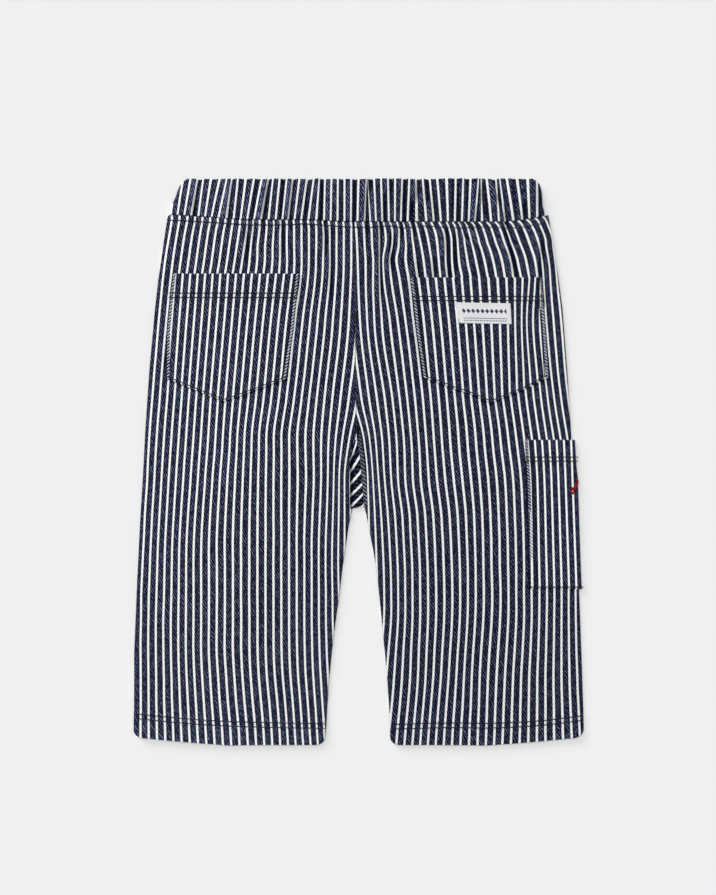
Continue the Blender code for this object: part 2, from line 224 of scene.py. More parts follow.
# Gathers of the elastic waist: where each valley crosses the top edge, the middle of the band
# and the seam, its depth, width and lean, and the levels between which it runs.
backGathers = (
    # top, middle, seam, depth, width, lean, from, to
    (-109, -112, -113, 0.9, 1.2, 0.6, -4, 34),
    (-86.5, -88, -89, 0.7, 1.3, 0.8, -4, 34),
    (-80, -82, -83, 0.4, 1.3, 0, -4, 34),
    (-69.5, -71.5, -73, 0.6, 1.4, 0.3, -4, 34),
    (-61.5, -63.5, -65, 1.2, 1.2, 0.8, -4, 34),
    (-51.5, -52.5, -53.5, 0.8, 1.2, -0.5, -4, 34),
    (-44.5, -46, -47, 1.0, 1.2, 0.6, -4, 34),
    (-34.5, -35.5, -36.5, 0.5, 1.3, 0.2, -4, 34),
    (-25, -25, -25.5, 1.1, 1.2, -0.4, -4, 34),
    (-11.5, -12, -12, 0.4, 1.2, 0.2, -4, 34),
    (-2.5, -2.5, -3, 0.9, 1.1, 0, -4, 34),
    (8.5, 6.5, 6, 1.5, 1.3, 0.4, -4, 34),
    (18.5, 18.5, 18, 0.7, 1.3, 0, 7.5, 34),
    (22.5, 22.5, 22, 0.6, 1.2, 0.2, -4, 20),
    (32, 31.5, 32, 1.0, 1.2, 0, -4, 34),
    (41.5, 40.5, 39.5, 1.2, 1.2, 0.5, -4, 19.5),
    (38, 37, 36.5, 1.2, 1.3, -0.4, 14, 34),
    (47.5, 47.5, 48, 0.8, 1.3, 0, -4, 19.5),
    (51.5, 51.5, 53.5, 0.5, 1.2, 0.2, -4, 34),
    (65, 65, 64.5, 0.6, 1.0, 0.2, -4, 34),
    (68.5, 68.5, 68.5, 0.7, 1.1, -0.2, -4, 34),
    (74.5, 75, 74.5, 1.1, 1.2, 0.6, -4, 34),
    (83.5, 83, 82, 1.4, 1.3, 0, 15, 34),
    (86.5, 86, 88, 1.9, 2.2, -0.2, 2, 27),
    (93, 96.5, 101.5, 1.5, 1.2, 0.6, -4, 34),
    (106.5, 107, 108.5, 0.4, 1.3, 0, -4, 34),
    (114, 114.5, 114.5, 0.8, 1.2, 0.2, 12.5, 34),
    (124, 124.5, 125, 0.8, 1.1, 0, -4, 34),
)
frontGathers = (
    (-104, -106, -107, 0.9, 1.3, 0.4, -4, 34),
    (-82, -81, -80, 0.7, 1.2, 0.0, -4, 34),
    (-55, -55.5, -57, 0.9, 1.3, -0.4, -4, 20),
    (-36, -35, -33, 0.8, 1.2, 0.3, -4, 34),
    (-6, -7, -9, 0.6, 1.2, 0.0, 8, 34),
    (3, 2, 1, 0.7, 1.2, 0.5, -4, 34),
    (40, 41.5, 42, 0.9, 1.4, 0.2, -4, 34),
    (63, 61, 60, 0.8, 1.2, -0.3, -4, 34),
    (78, 79, 79, 0.6, 1.2, 0.0, 10, 34),
    (92, 94, 95, 0.9, 1.3, 0.5, -4, 34),
    (112, 112, 113, 0.7, 1.2, 0.0, -4, 22),
)


def bandCreases(gathers):
    return [crease(((top, low), (top, max(low, 0.5)), (middle, 13.8), (seam, 25.5), (seam, high)),
                   depth, width, 0, 6, 6, lean)
            for top, middle, seam, depth, width, lean, low, high in gathers]


def gatherTails(gathers):  # the gathers' ends in the cloth under the waistband
    return [crease(((seam, 20), (seam, 31 + 9 * depth)), depth * 0.9, width, 0.3, 1, 9 * depth, lean)
            for top, middle, seam, depth, width, lean, low, high in gathers if high > 30]


bodyCreases = (
    # depth, width, hides, fade in, fade out, lean, then the points of the path
    (2.0, 1.7, 1.0, 1, 14, 0.3, (-75.5, 24), (-76.5, 36.5), (-76, 49), (-78, 60)),
    (1.3, 1.5, 0.6, 1, 14, 0.2, (-71.5, 24), (-72, 38.5), (-72.5, 57)),
    (0.9, 1.5, 0.5, 1, 10, 0, (-59, 24), (-57, 36.5), (-56, 47)),
    (1.3, 1.5, 0.6, 1, 14, 0.2, (-52, 24), (-51.5, 42), (-52.5, 60)),
    (1.9, 1.5, 0.8, 1, 14, 0.2, (-23.5, 24), (-23, 34), (-22, 42), (-23, 57)),
    (1.2, 1.0, 0.4, 4, 6, 0, (-40.5, 62), (-41, 70), (-42, 80)),
    (1.4, 1.4, 0.5, 6, 24, 0, (-18.5, 29.5), (-18.5, 94)),
    (1.9, 1.2, 1.2, 1, 30, 0.5, (15, 24), (15.5, 45.5), (15, 57), (16, 83.5), (17.5, 96)),
    (2.3, 1.8, 1.0, 9, 12, 0.3, (23, 35), (23, 44), (22.5, 57), (24.5, 68)),
    (1.9, 1.4, 0.6, 1, 8, 0, (30, 24), (30, 32.5), (29.5, 43.5)),
    (2.0, 1.2, 0.8, 1, 7, 0.3, (38.5, 24), (38.5, 34), (40, 42)),
    (1.4, 1.6, 0.3, 9, 3, 0, (41.5, 49), (41.5, 58.5), (42, 71)),
    (1.6, 1.8, 0.4, 9, 3, 0, (52, 50.5), (52.5, 58.5), (53, 71)),
    (2.6, 1.9, 1.2, 6, 4, 0.2, (61.5, 31), (61.5, 40.5), (62, 50.5), (63, 71)),
    (2.3, 1.6, 0.8, 6, 8, 0.2, (66, 34), (66.5, 43.5), (67, 57), (68.5, 67)),
    (1.4, 1.5, 0.4, 7, 3, 0, (57.5, 49), (58, 57), (59, 71)),
    (2.0, 1.2, 0.5, 3, 4, 0.4, (69, 29.5), (71.5, 37), (77, 42.5), (82, 47.5)),
    (2.5, 1.8, 1.4, 1, 14, 0.5, (101.5, 22.5), (101, 32.5), (103.5, 40), (105.5, 49), (109, 67.5),
     (110, 72.5)),
    (2.2, 1.7, 1.2, 10, 24, 0.2, (127, 39.5), (126.5, 49), (126, 61.5), (127, 72.5), (128.5, 97)),
)
frontBodyCreases = (
    (0.5, 2.4, 0.9, 1, 30, 0, (-56, 24), (-58, 52), (-60, 70)),
    (0.5, 2.2, 0.9, 1, 24, 0, (41, 24), (43, 48), (42, 64)),
    (0.5, 2.2, 0.7, 1, 20, 0, (94, 24), (97, 50)),
)
backCreases = gatherTails(backGathers) + [crease(row[6:], *row[:6]) for row in bodyCreases]
frontCreases = gatherTails(frontGathers) + [crease(row[6:], *row[:6])
                                            for row in frontBodyCreases]

# Facets of the gathers that face the light: the twill shows paler along them.
bandFacets = (
    # x above, x below, from, to, half width, how much paler
    (-109.5, -106.5, 4, 27, 1.6, 0.6),
    (-90, -94.5, 2, 27, 1.3, 1.0),
    (-64, -69, 2, 28, 1.2, 0.9),
    (-47.5, -50.5, 2, 28, 1.8, 1.2),
    (-21.5, -21.5, 2, 28, 1.7, 0.9),
    (-8, -6, 2, 28, 2.0, 0.5),
    (8.5, 9.5, 8, 28, 1.4, 0.5),
    (41.5, 41, 0, 28, 1.3, 0.7),
    (48, 48, 16, 28, 1.6, 0.6),
    (74, 72, 2, 28, 1.3, 0.8),
    (78, 76, 4, 28, 1.5, 0.9),
    (84.5, 85, -2, 8, 1.8, 1.1),
    (83.5, 83.5, 17, 28, 1.4, 0.9),
    (91.5, 93.5, 2, 14, 1.6, 1.1),
    (99, 100, 19, 28, 1.6, 0.7),
)
bodyFacets = (
    (-41, -39.5, 38, 58, 1.4, 0.7),
    (-12, -10.5, 42, 60, 1.6, 0.6),
    (18.5, 17, 37, 54, 1.8, 0.9),
    (29.5, 30.5, 40, 53, 1.4, 0.6),
    (34.5, 36, 33, 45, 1.3, 0.9),
    (41.5, 42.5, 36, 58, 1.5, 1.0),
    (49.5, 52, 36, 58, 1.8, 0.7),
    (78, 81.5, 35, 48, 1.5, 1.0),
    (87.5, 91, 36, 57, 1.8, 0.7),
    (98, 101.5, 40, 58, 1.6, 0.7),
    (116, 120, 30, 43, 1.8, 0.8),
)


def paleness(facets, x, down):
    pale = np.zeros(np.broadcast(x, down).shape)
    for above, below, start, end, half, much in facets:
        share = np.clip((down - start) / (end - start), 0, 1)
        fade = ease((down - start + 2) / 5.0) * ease((end + 2 - down) / 5.0)
        pale += much * fade * bell(x - mix(above, below, share), half)
    return pale


# White stripes are numbered from the left of each piece. Only the leading ones have a place
# here: a smooth curve spaces those between them, and creases draw them in.
leftStripes = {
    "down": (29, 56, 97, 152, 180, 207, 262, 318, 380),
    0: (-129, -133.5, -138, -142.5, -144.5, -146, -149, -150.5, -150.5),
    9: (-81.5, -85.5, -92, -97, -99, -101, -103.5, -103.5, -100),
    18: (-39.5, -39.5, -44, -50, -53.5, -53.5, -53.5, -53.5, -49.5),
    24: (-10.5, -10.5, -12.5, -18.5, -21, -21.5, -23, -22.5, -19),
    27: (5, 5, 4, -1.5, -7, -10, -10, -8.5, -5),
}
rightStripes = {
    "down": (29, 42, 56, 97, 152, 180, 207, 235, 290, 345, 380),
    -3: (-19, -17.5, -17, -15, -8.5, -0.5, 2.5, 2.5, 3, -2.5, -6),
    0: (-2.5, -1.5, -1, 0.5, 7, 11.5, 13.5, 15.5, 17.5, 13.5, 10),
    3: (13.5, 14, 14, 15.5, 23, 26, 27, 30, 32, 29.5, 26.5),
    4: (17, 18.5, 16.5, 21, 28, 31, 32, 35, 37, 35, 32),
    9: (39, 42, 44.5, 48.5, 55, 57, 59.5, 62.5, 64.5, 61.5, 59),
    13: (60.5, 63.5, 64, 70.5, 77.5, 80.5, 83, 85, 86, 83, 82),
    16: (73.5, 77, 80.5, 87.5, 94, 97.5, 100.5, 102, 103, 100.5, 99),
    22: (105, 110, 115, 120.5, 125.5, 129.5, 132.5, 134.5, 134.5, 134, 134.5),
    24: (117.5, 123, 126, 129, 134.5, 139, 142.5, 144.5, 144.5, 145, 146.5),
    27: (135, 138.5, 139.5, 144.5, 149, 153.5, 156.5, 159, 159, 161, 163),
}
leftPocketStripes = {
    "down": (73, 97, 138),
    0: (-127, -129, -132),
    6: (-96, -98, -101.5),
    15: (-47, -50, -54),
}
rightPocketStripes = {
    "down": (73, 97, 138),
    0: (41.5, 44.5, 48.5),
    6: (77, 79, 82),
    12: (112.5, 112, 113.5),
    13: (117, 115.5, 118),
    15: (125, 124.5, 128),
}
sidePocketStripes = {
    "down": (180, 207, 262),
    0: (116, 118, 119),
    6: (146, 147, 149),
}
bandStripes = {            # those that lie close together are on both sides of a gather
    "down": (3, 26),
    0: (-121.5, -125),
    2: (-111.5, -115.5),
    3: (-107.5, -110.5),
    6: (-91.5, -96.5),
    7: (-88, -91),
    12: (-63, -67),
    13: (-59.5, -62),
    15: (-50, -52.5),
    16: (-46, -48.5),
    19: (-31.5, -34.5),
    21: (-23.5, -24),
    22: (-19, -19.5),
    24: (-10, -10),
    26: (-0.5, -1),
    27: (5, 4),
    28: (6, 7.5),
    29: (10.5, 11.5),
    31: (20, 20.5),
    34: (34.5, 33.5),
    36: (44, 46),
    38: (54, 56),
    40: (66.5, 66),
    42: (76.5, 75.5),
    43: (82, 80),
    44: (84, 84.5),
    45: (88, 90.5),
    46: (94.5, 96),
    47: (97, 100),
    49: (109, 112),
    51: (122.5, 122.5),
    52: (127, 129),
}


def navyEdge(distance, down, fine=1.0):  # the cloth between two stripes, for a turned edge
    return np.stack(np.broadcast_arrays(0.27 + 0.17 * fine * distance,
                                        fine * down / cloth["pitch"]), -1)


def stripeMap(table, creases, start, stop):  # gives a function (x, down) -> stripe number
    numbers = [key for key in table if key != "down"]
    rowStep, columnStep = 2.0, 0.5
    levels = np.arange(start, stop + rowStep, rowStep)
    places = np.arange(-170.0, 170.1, columnStep)
    lines = np.array([fromTable(table, number, levels) for number in numbers]).T + cloth["aside"]
    field = np.empty((len(levels), len(places)))
    for row, level in enumerate(levels):
        knots = lines[row] + creaseEffect(creases, lines[row], level)[1]
        field[row] = smoothCurve(knots, numbers, places + creaseEffect(creases, places, level)[1])

    def stripeAt(x, down):
        across = np.clip((x - places[0]) / columnStep, 0, len(places) - 1.001)
        along = np.clip((down - start) / rowStep, 0, len(levels) - 1.001)
        column, row = across.astype(int), along.astype(int)
        upper = mix(field[row, column], field[row, column + 1], across - column)
        lower = mix(field[row + 1, column], field[row + 1, column + 1], across - column)
        return mix(upper, lower, along - row)
    return stripeAt


def rimRing(outer, inner, wall):  # points that round off a wall's rim, and the points they join
    away = np.zeros_like(outer)
    for edge, beside in (((slice(None), 0), (slice(None), 1)),
                         ((slice(None), -1), (slice(None), -2)), ((0,), (1,)), ((-1,), (-2,))):
        step = outer[edge] - outer[beside]
        away[edge] += step / np.linalg.norm(step, axis=-1, keepdims=True)
    rim = np.zeros(wall.shape, bool)
    rim[[0, -1]] = rim[:, [0, -1]] = True
    index = np.nonzero(rim.ravel())[0]
    push = away.reshape(-1, 3)[index]
    push /= np.linalg.norm(push, axis=-1, keepdims=True)
    between = (outer.reshape(-1, 3)[index] + inner.reshape(-1, 3)[index]) / 2
    return between + push * wall.ravel()[index, None] * cloth["lip"] * mm, index


def wallFaces(solid, count, ringOf):  # the outer faces, as many inner ones, then the edges
    rows, columns = solid.shape
    row, column = np.nonzero(solid)
    first = row * (columns + 1) + column
    corners = (first, first + columns + 1, first + columns + 2, first + 1)
    outer = np.stack(corners, 1)
    faces = [outer, outer[:, ::-1] + count]
    around = np.pad(solid, 1)
    for turn, (rowStep, columnStep) in enumerate(((0, -1), (1, 0), (0, 1), (-1, 0))):
        besideRow, besideColumn = row + rowStep, column + columnStep
        bare = ~around[besideRow + 1, besideColumn + 1]
        atRim = (besideRow < 0) | (besideRow >= rows) | (besideColumn < 0) | (besideColumn >= columns)
        start, end = corners[turn], corners[(turn + 1) % 4]
        p, q = start[bare & atRim], end[bare & atRim]
        faces.append(np.stack([q, p, ringOf[p], ringOf[q]], 1))
        faces.append(np.stack([ringOf[q], ringOf[p], p + count, q + count], 1))
        p, q = start[bare & ~atRim], end[bare & ~atRim]
        faces.append(np.stack([q, p, p + count, q + count], 1))
    return np.concatenate(faces)


def wallMesh(name, outer, wall, uv, flip=False, patch=None, solid=None, wearAndPaintedLight=None):
    # a closed wall of cloth under a grid of points; patch = (cells, other uv, finish of each),
    # solid = cells kept, the paleness per point = how much paler than usual the navy is,
    # as painted highlight, painted shade and some wear
    rows, columns = outer.shape[:2]
    count = rows * columns
    normal = np.cross(np.gradient(outer, axis=0), np.gradient(outer, axis=1))
    normal /= np.linalg.norm(normal, axis=-1, keepdims=True)
    wall = np.broadcast_to(wall, (rows, columns))
    inner = outer - normal * (-1 if flip else 1) * wall[..., None] * mm
    ring, ringed = rimRing(outer, inner, wall)
    ringOf = np.zeros(count, int)
    ringOf[ringed] = 2 * count + np.arange(len(ringed))
    solid = np.ones((rows - 1, columns - 1), bool) if solid is None else solid
    faces = wallFaces(solid, count, ringOf)
    if flip:
        faces = faces[:, ::-1]
    points = np.concatenate([outer.reshape(-1, 3), inner.reshape(-1, 3), ring])

    mesh = bpy.data.meshes.new(name)
    mesh.from_pydata(points.tolist(), [], faces.tolist())
    source = np.concatenate([np.arange(count), np.arange(count), ringed])[faces]
    corner = uv.reshape(-1, 2)[source]
    if patch is not None:
        cells, other, finish = patch
        bothSides = 2 * np.count_nonzero(solid)
        patched = np.zeros(len(faces), bool)
        patched[:bothSides] = np.tile(cells[solid], 2)
        corner[patched] = other.reshape(-1, 2)[source[patched]]
        chosen = np.zeros(len(faces), int)
        chosen[:bothSides] = np.tile((cells * finish)[solid], 2)
        mesh.polygons.foreach_set("material_index", chosen)
    mesh.uv_layers.new(name="cloth").data.foreach_set("uv", corner.astype(np.float32).ravel())
    if wearAndPaintedLight is not None:
        values = np.concatenate([wearAndPaintedLight.ravel(), np.zeros(count + len(ringed))]).astype(np.float32)
        mesh.attributes.new("wearAndPaintedLight", "FLOAT", "POINT").data.foreach_set("value", values)
    mesh.shade_smooth()
    mesh.update()
    made = bpy.data.objects.new(name, mesh)
    bpy.context.scene.collection.objects.link(made)
    return made


def railed(rails, counts):  # columns of points between lines that run down the piece
    shares = [np.arange(n) / n if np.isscalar(n) else n for n in counts]
    parts = [mix(a[:, None], b[:, None], share[None])
             for a, b, share in zip(rails, rails[1:], shares)]
    return np.concatenate(parts + [rails[-1][:, None]], 1)


def crowded(low, high, count, centres, reach=4.0, gain=1.6):
    # shares from 0 up to 1, closer together where the creases are
    x = np.linspace(low, high, 2000)
    density = 1 + gain * np.minimum(1, sum(bell(x - centre, reach) for centre in centres))
    travelled = np.concatenate([[0], np.cumsum((density[1:] + density[:-1]) / 2)])
    places = np.interp(np.linspace(0, travelled[-1], count + 1), travelled, x)
    return ((places - low) / (high - low))[:-1]


def rowsOf(*stretches):  # levels from (start, stop, step) stretches that follow each other
    levels = []
    for start, stop, step in stretches:
        steps = max(1, round((stop - start) / step))
        levels += [mix(start, stop, k / steps) for k in range(steps)]
    return np.array(levels + [stretches[-1][1]])


# Stitch lines across the cloth: knots of x and level.
waistStitch = {
    "x": (-130, -128.5, -99.6, -69.2, -44.4, -40.3, -10, 7.9, 20.3, 32.7, 45.1, 69.9, 85.1, 97.5,
          108.5, 118.2, 126.4, 130),
    "down": (28.4, 28.5, 30.3, 32, 31.7, 31.2, 33.1, 33.5, 32.6, 33.9, 32.8, 34, 33.3, 33.8, 34,
             32.4, 31, 30.2),
}


def dip(distance, along, depth=0.34, width=0.55, stitch=2.9):  # thread pulls the cloth in
    pull = 0.65 + 0.35 * np.cos(2 * math.pi * along / stitch)
    return -depth * pull * bell(distance, width)


def hemStitchLine(x, k):
    return fromTable(hemStitch, "up", x, "x") - k * hemStitch["apart"]


def hemEffect(x, down):
    foot = rowLevel(x, np.full(np.shape(x), body["length"]))
    above = foot - down
    step = hemStitch["step"] * ease((body["hemDepth"] + 0.5 - above) / 1.4)
    lines = sum(dip(above - hemStitchLine(x, k), x + 0.7 * k, 0.4, 0.5) for k in (0, 1))
    puckers = hemStitch["puckers"] * unevenness(x, down * 0.4, 2.6, 41)
    return step + lines + puckers * ease((24 - above) / 6) * ease(above / 8)


def backHeight(x, down):
    inwards = fromSides(x, down)
    fading = 1 - ease((down - body["seam"]) / body["puffReach"])
    height = body["back"] + body["puff"] * fading * ease(inwards / 7.0)
    near = ease(inwards / 4.0)
    relief = creaseEffect(backCreases, x, down)[0] - body["pocketPull"] * pocketBeds(x, down)
    height = height + near * relief
    height = np.maximum(height, body["lowest"] + frontLift(x, down))
    height = height + dip(down - fromTable(waistStitch, "down", x, "x"), x) * near
    for much, size, seed in body["slow"]:
        height = height + much * unevenness(x, down, size, seed)
    height = height + body["sideRoll"] * bell(inwards - 6.0, 4.0) * ease((down - 60) / 60)
    height = height + forkHeight(x, down) + seamRoll(x, down) * near
    return height + hemEffect(x, down)


def seamRoll(x, down):  # the strip between the waist seam and its stitches stands up
    below = down - seamLevel(x)
    return 0.5 * bell(below - 2.2, 1.3) - 0.5 * bell(below, 0.7)


def pocketBeds(x, down):  # 1 just outside a pocket, where its stitches pull the back down
    bed = np.zeros(np.broadcast(x, down).shape)
    for shape in (leftPocket, rightPocket):
        left, right = edgesOf(shape, down)
        outside = np.maximum(np.maximum(left - x, x - right), -aboveFoot(shape, x, down))
        bed = bed + bell(outside - 0.5, 0.5) * ease((down - shape["down"][0]) / 3.0)
    inner, _ = edgesOf(sidePocket, down)
    outside = np.maximum(inner - x, down - sidePocket["down"][-1])
    bed = bed + bell(outside - 0.6, 0.6) * ease((down - sidePocket["down"][0]) / 3.0)
    return bed


fork = {
    "down": (170, 178.5, 186, 200, 215, 226, 232),
    "fold": (-5.2, -5.4, -5.8, -5.9, -5.9, -5.9, -6.6),   # edge of the left leg beside the fork
    "drop": 1.0,
    "ridge": 0.9,
    "foot": (225.6, 227.2),    # rows of cloth above and below its lower edge
    "atFold": (185.4, 193.6, 201.9, 210.5, 218.4, 226.3, 234.5),   # its slanting stripes there
    "atSeam": (167, 178.5, 190.9, 201.2, 210.1, 216.7, 224),
}


def forkHeight(x, down):
    edge = x - np.interp(down, fork["down"], fork["fold"])
    share = ease((down - 177.0) / 14.0) * (1 - ease((down - 226.6) / 2.0))
    valley = ease((edge + 0.1) / 0.7) * (1 - 0.75 * ease((edge - 1.2) / 6.5)) * (edge < 12)
    fold = bell(edge + 3.0, 3.5) * ease((down - 176.0) / 14.0) * (1 - ease((down - 228) / 26.0))
    return fork["ridge"] * fold - fork["drop"] * share * valley


def frontLift(x, down):  # the front rises over the half of the side pocket under it
    inner, _ = edgesOf(sidePocket, down)
    across = (x - (inner - 12.0)) / 8.0
    above = (down - (sidePocket["down"][0] - 8.0)) / 7.0
    below = (sidePocket["down"][-1] + 9.0 - down) / 7.0
    lift = cloth["wall"] + cloth["clear"] + 0.2
    return lift * ease(np.minimum(across, np.minimum(above, below)))


def frontHeight(x, down):  # lowest surface of the front, which is its right side
    near = ease(fromSides(x, down) / 4.0)
    valleys = -near * np.minimum(0, creaseEffect(frontCreases, x, down)[0])
    stitch = -dip(down - seamLevel(x) - 3.6, x) * near
    hem = np.maximum(0, -hemEffect(x, down))
    return body["front"] + frontLift(x, down) + valleys + stitch + hem


hemTop = body["length"] - body["hemDepth"] - 0.6     # the cloth is double below this row


def panelRows(fine):  # rows are closest at the seams, the hem and where the fork opens
    length, corner, foot = body["length"], body["hemCorner"], fork["foot"]
    crotch = 0.7 if fine == 1 else 4.0
    return np.concatenate([
        rowsOf((body["seam"], 29.2, 0.24), (29.2, 100, 1.2 * fine), (100, 136, 2.2 * fine),
               (136, 157, crotch), (157, 178, 2.2 * fine), (178, foot[0], 1.6 * fine)),
        rowsOf((foot[1], 366, 2.4 * fine), (366, length - corner, 0.8 * fine)),
        length - corner + corner * np.sin(np.radians((18, 36, 52, 68, 80, 90))),
    ])


def panelGrid(side, fine):
    rows = panelRows(fine)
    corner, typical = body["hemCorner"], 9    # typical is the row that sets the columns' spacing
    past = np.maximum(0, rows - body["length"] + corner)
    inset = corner - np.sqrt(np.maximum(0, corner ** 2 - past ** 2))
    sign = -1 if side == "left" else 1
    outer = sideEdge(side, rows) - sign * inset
    inner = np.interp(rows, middle["down"], middle[side]) + sign * (0.1 + inset)
    folds = [np.interp(45, *zip(*[(down, x) for x, down in fold["path"]]))
             for fold in (backCreases if fine == 1 else frontCreases)]
    if side == "left":
        fold = np.interp(rows, fork["down"], fork["fold"])
        fold = np.where(rows > fork["foot"][1] - 0.2, inner - 1.9, fold)
        rails = (outer, outer + 1.8, fold, fold + 0.9, inner - 0.9, inner)
        main = crowded(rails[1][typical], fold[typical], round(165 / fine), folds)
        counts = (7, main, 3, round(9 / fine), 5)
    else:
        rails = (inner, inner + 0.9, outer - 1.8, outer)
        main = crowded(rails[1][typical], rails[2][typical], round(185 / fine), folds)
        counts = (5, main, 7)
    x = railed(rails, counts)
    row = np.broadcast_to(rows[:, None], x.shape)
    return x, rowLevel(x, row), row, inner[:, None], outer[:, None], counts


panelEdges = {
    "apart": 0.16,         # from the middle of a side seam to each panel
    "hemLift": 0.35,       # the doubled hems hold the side seams up
    "turn": 1.7,           # over which a panel bends to its side seam
    "centreSink": (0.55, 0.9),     # how far it dips at the centre seam, and over what width
    "waistSink": (0.3, 0.6),
}


def panelPoints(x, down, row, inner, outer, height, up):
    # turns the edges of a panel over; up is 1 for the back and -1 for the front
    below, inside = row - body["seam"], np.abs(x - inner)
    edge = mix(body["waistEdge"], body["edge"], ease(below / 50)) + panelEdges["apart"] * up
    edge = edge + panelEdges["hemLift"] * ease((row - hemTop + 3.8) / 4)
    legs = ease((row - 226.0) / 3.0)
    roll = np.maximum(rolled(np.abs(x - outer), panelEdges["turn"]),
                      rolled(inside, panelEdges["turn"]) * legs)
    z = mix(height, edge, roll)
    sink, width = panelEdges["centreSink"]
    z = z - up * sink * rolled(inside, width) * (1 - legs)
    sink, width = panelEdges["waistSink"]
    return toMetres(x, down, z - up * sink * rolled(below, width))


turnedSeam = {             # the right leg's edge, turned over beside the fork
    "rows": (173, 225),
    "width": 2.3,
    "fine": 0.8,           # its strokes against those of the pockets' edges
    "dark": 0.72,
}


wear = {                   # how much paler the navy is, 1 being twice as pale: painted highlight, painted shade and a paler hem
    "litWhenRaised": 1.3,         # painted highlight for each millimetre above the flat, painted shade in creases
    # painted shadow beside the pockets
    "shadowBesidePocket": -1.25,
    "hem": 0.2,
    "hemSpots": 0.5,
    "shadeUnderFold": -0.6,     # painted shade in the fork
    "atFold": -1.2,        # more painted shade, right under the fold
    # painted shade at the top of the fork
    "shadeAtForkTop": -1.7,
}


def backPanel(name, side, stripes):
    x, down, row, inner, outer, counts = panelGrid(side, 1.0)
    points = panelPoints(x, down, row, inner, outer, backHeight(x, down), 1)
    wall = mix(cloth["wall"], cloth["hem"], ease((row - hemTop) / 1.5))
    drawn = bell(row - 27.5, 2.6) * mix(0.10, 0.26, ease((x - 55) / 20))
    stripe = stripes(x, down) + drawn + 0.035 * unevenness(x, down, 19.0, 21)
    uv = np.stack([stripe, down / cloth["pitch"]], -1)
    # painted highlight on raised cloth and on the strip below the waist seam, painted shade in the
    # creases
    relief = creaseEffect(backCreases, x, down)[0] + 0.5 * bell(row - 30.0, 2.0)
    wearAndPaintedLight = reliefWearAndLight(relief, wear["litWhenRaised"]) + paleness(bodyFacets, x, down)
    # painted shadow beside the pockets
    wearAndPaintedLight = wearAndPaintedLight + wear["shadowBesidePocket"] * pocketBeds(x, down) ** 2
    spots = wear["hemSpots"] * unevenness(x, down, 2.2, 43)
    wearAndPaintedLight = wearAndPaintedLight + (wear["hem"] + spots) * ease((row - hemTop + 1.8) / 4)
    beside = x - np.interp(row, fork["down"], fork["fold"])
    inFork = (row > 178) & (row < 227)
    if side == "left":
        patch = forkPatch(x, down, row, counts)
        # painted shade in the fork, darkest right under the left leg's fold
        shadeUnderFold = inFork * (beside > 0) * (patch[1][..., 0] > -0.3)
        close = 1 - ease((beside - 1.0) / 2.6)
        wearAndPaintedLight = wearAndPaintedLight + (wear["shadeUnderFold"] + wear["atFold"] * close) * shadeUnderFold
    else:
        start, stop = turnedSeam["rows"]
        cells = (x - inner < turnedSeam["width"]) & (row > start) & (row < stop)
        patch = (cells[:-1, :-1], navyEdge(x - inner, down, turnedSeam["fine"]), 1)
        shaded = (x - inner < turnedSeam["width"] + 0.7) * (row > start - 2) * (row < stop + 2)
        wearAndPaintedLight = wearAndPaintedLight - turnedSeam["dark"] * shaded
    # painted shade at the top of the fork
    wearAndPaintedLight = wearAndPaintedLight + wear["shadeAtForkTop"] * bell(x - inner, 0.9) * bell(row - 171.5, 6.0)
    return wallMesh(name, points, wall, uv, patch=patch, wearAndPaintedLight=wearAndPaintedLight)


def reliefWearAndLight(relief, gain):  # ridges painted paler, rubbing and painted highlight; creases get painted shade
    return np.clip(relief * gain, -0.85, 1.2)


def forkPatch(x, down, row, counts):  # the fork's cloth shows on the bias beside the fold
    foldColumn = counts[0] + len(counts[1])
    fold = np.interp(row, fork["down"], fork["fold"])
    seam = np.interp(row, middle["down"], middle["left"])
    share = np.clip((x - fold) / (seam - fold), 0, 1)
    levels = [mix(atFold, atSeam, share) for atFold, atSeam in zip(fork["atFold"], fork["atSeam"])]
    index = sum(np.clip((down - low) / (high - low), 0, 1)
                for low, high in zip(levels, levels[1:])) - 1
    uv = np.stack([np.maximum(index, -0.55), (x - fold) / cloth["pitch"] * 1.3], -1)
    inFork = (row > 178.5) & (row < 227.3)
    cells = inFork[:-1, :-1] & inFork[1:, :-1]
    cells[:, :foldColumn] = False
    return cells, uv, 0


def frontPanel(name, side, stripes):
    x, down, row, inner, outer, _ = panelGrid(side, 2.0)
    points = panelPoints(x, down, row, inner, outer, frontHeight(x, down), -1)
    wall = mix(cloth["wall"], cloth["hem"], ease((row - hemTop) / 1.5))
    stripe = stripes(x, down) + 0.4 + 0.035 * unevenness(x, down, 19.0, 22)
    uv = np.stack([stripe, down / cloth["pitch"]], -1)
    return wallMesh(name, points, wall, uv, flip=True)


waistband = {
    "middle": 2.35,        # level where the two halves meet at the sides
    "inside": 2.85,        # inner face of the back half
    "turn": 3.0,           # over which the ends go round the side
    "topTurn": 1.4,        # radius of the fold at the top edge
    "scallop": 0.75,       # how far a gather pulls the top edge down, against its depth
    "back": {"face": 4.9, "relief": 1.9, "columns": 460},
    "front": {"face": 4.7, "relief": 0.8, "columns": 300},
    "bulge": 0.9,          # how far the elastic rounds the back half out
    "slit": {"x": 19.0, "width": 2.0, "top": 8.5, "foot": 19.5},
}


bandEnds = {
    "down": (0, 1.2, 2.6, 5, 7.6, 14.5, 20.7, 24.1, 28),
    "left": (-117, -119, -120.9, -122.4, -123.7, -125.7, -127.9, -128.8, -129.6),
    "right": (119, 121.3, 123.4, 124.8, 125.4, 126.1, 126.4, 127.3, 127.8),
}


def bandRows():  # up the inside, over the top and down the outside: (part, level or angle)
    foot, fold = body["seam"], waistband["topTurn"]
    rows = [("inside", level) for level in np.linspace(foot - 1.0, 2.2, 14)]
    rows += [("turn", angle) for angle in np.radians((-67, -45, -22, 0, 22, 45, 67))]
    levels = rowsOf((fold, foot - 0.8, 0.9), (foot - 0.8, foot, 0.2))
    return rows + [("outside", level) for level in levels]


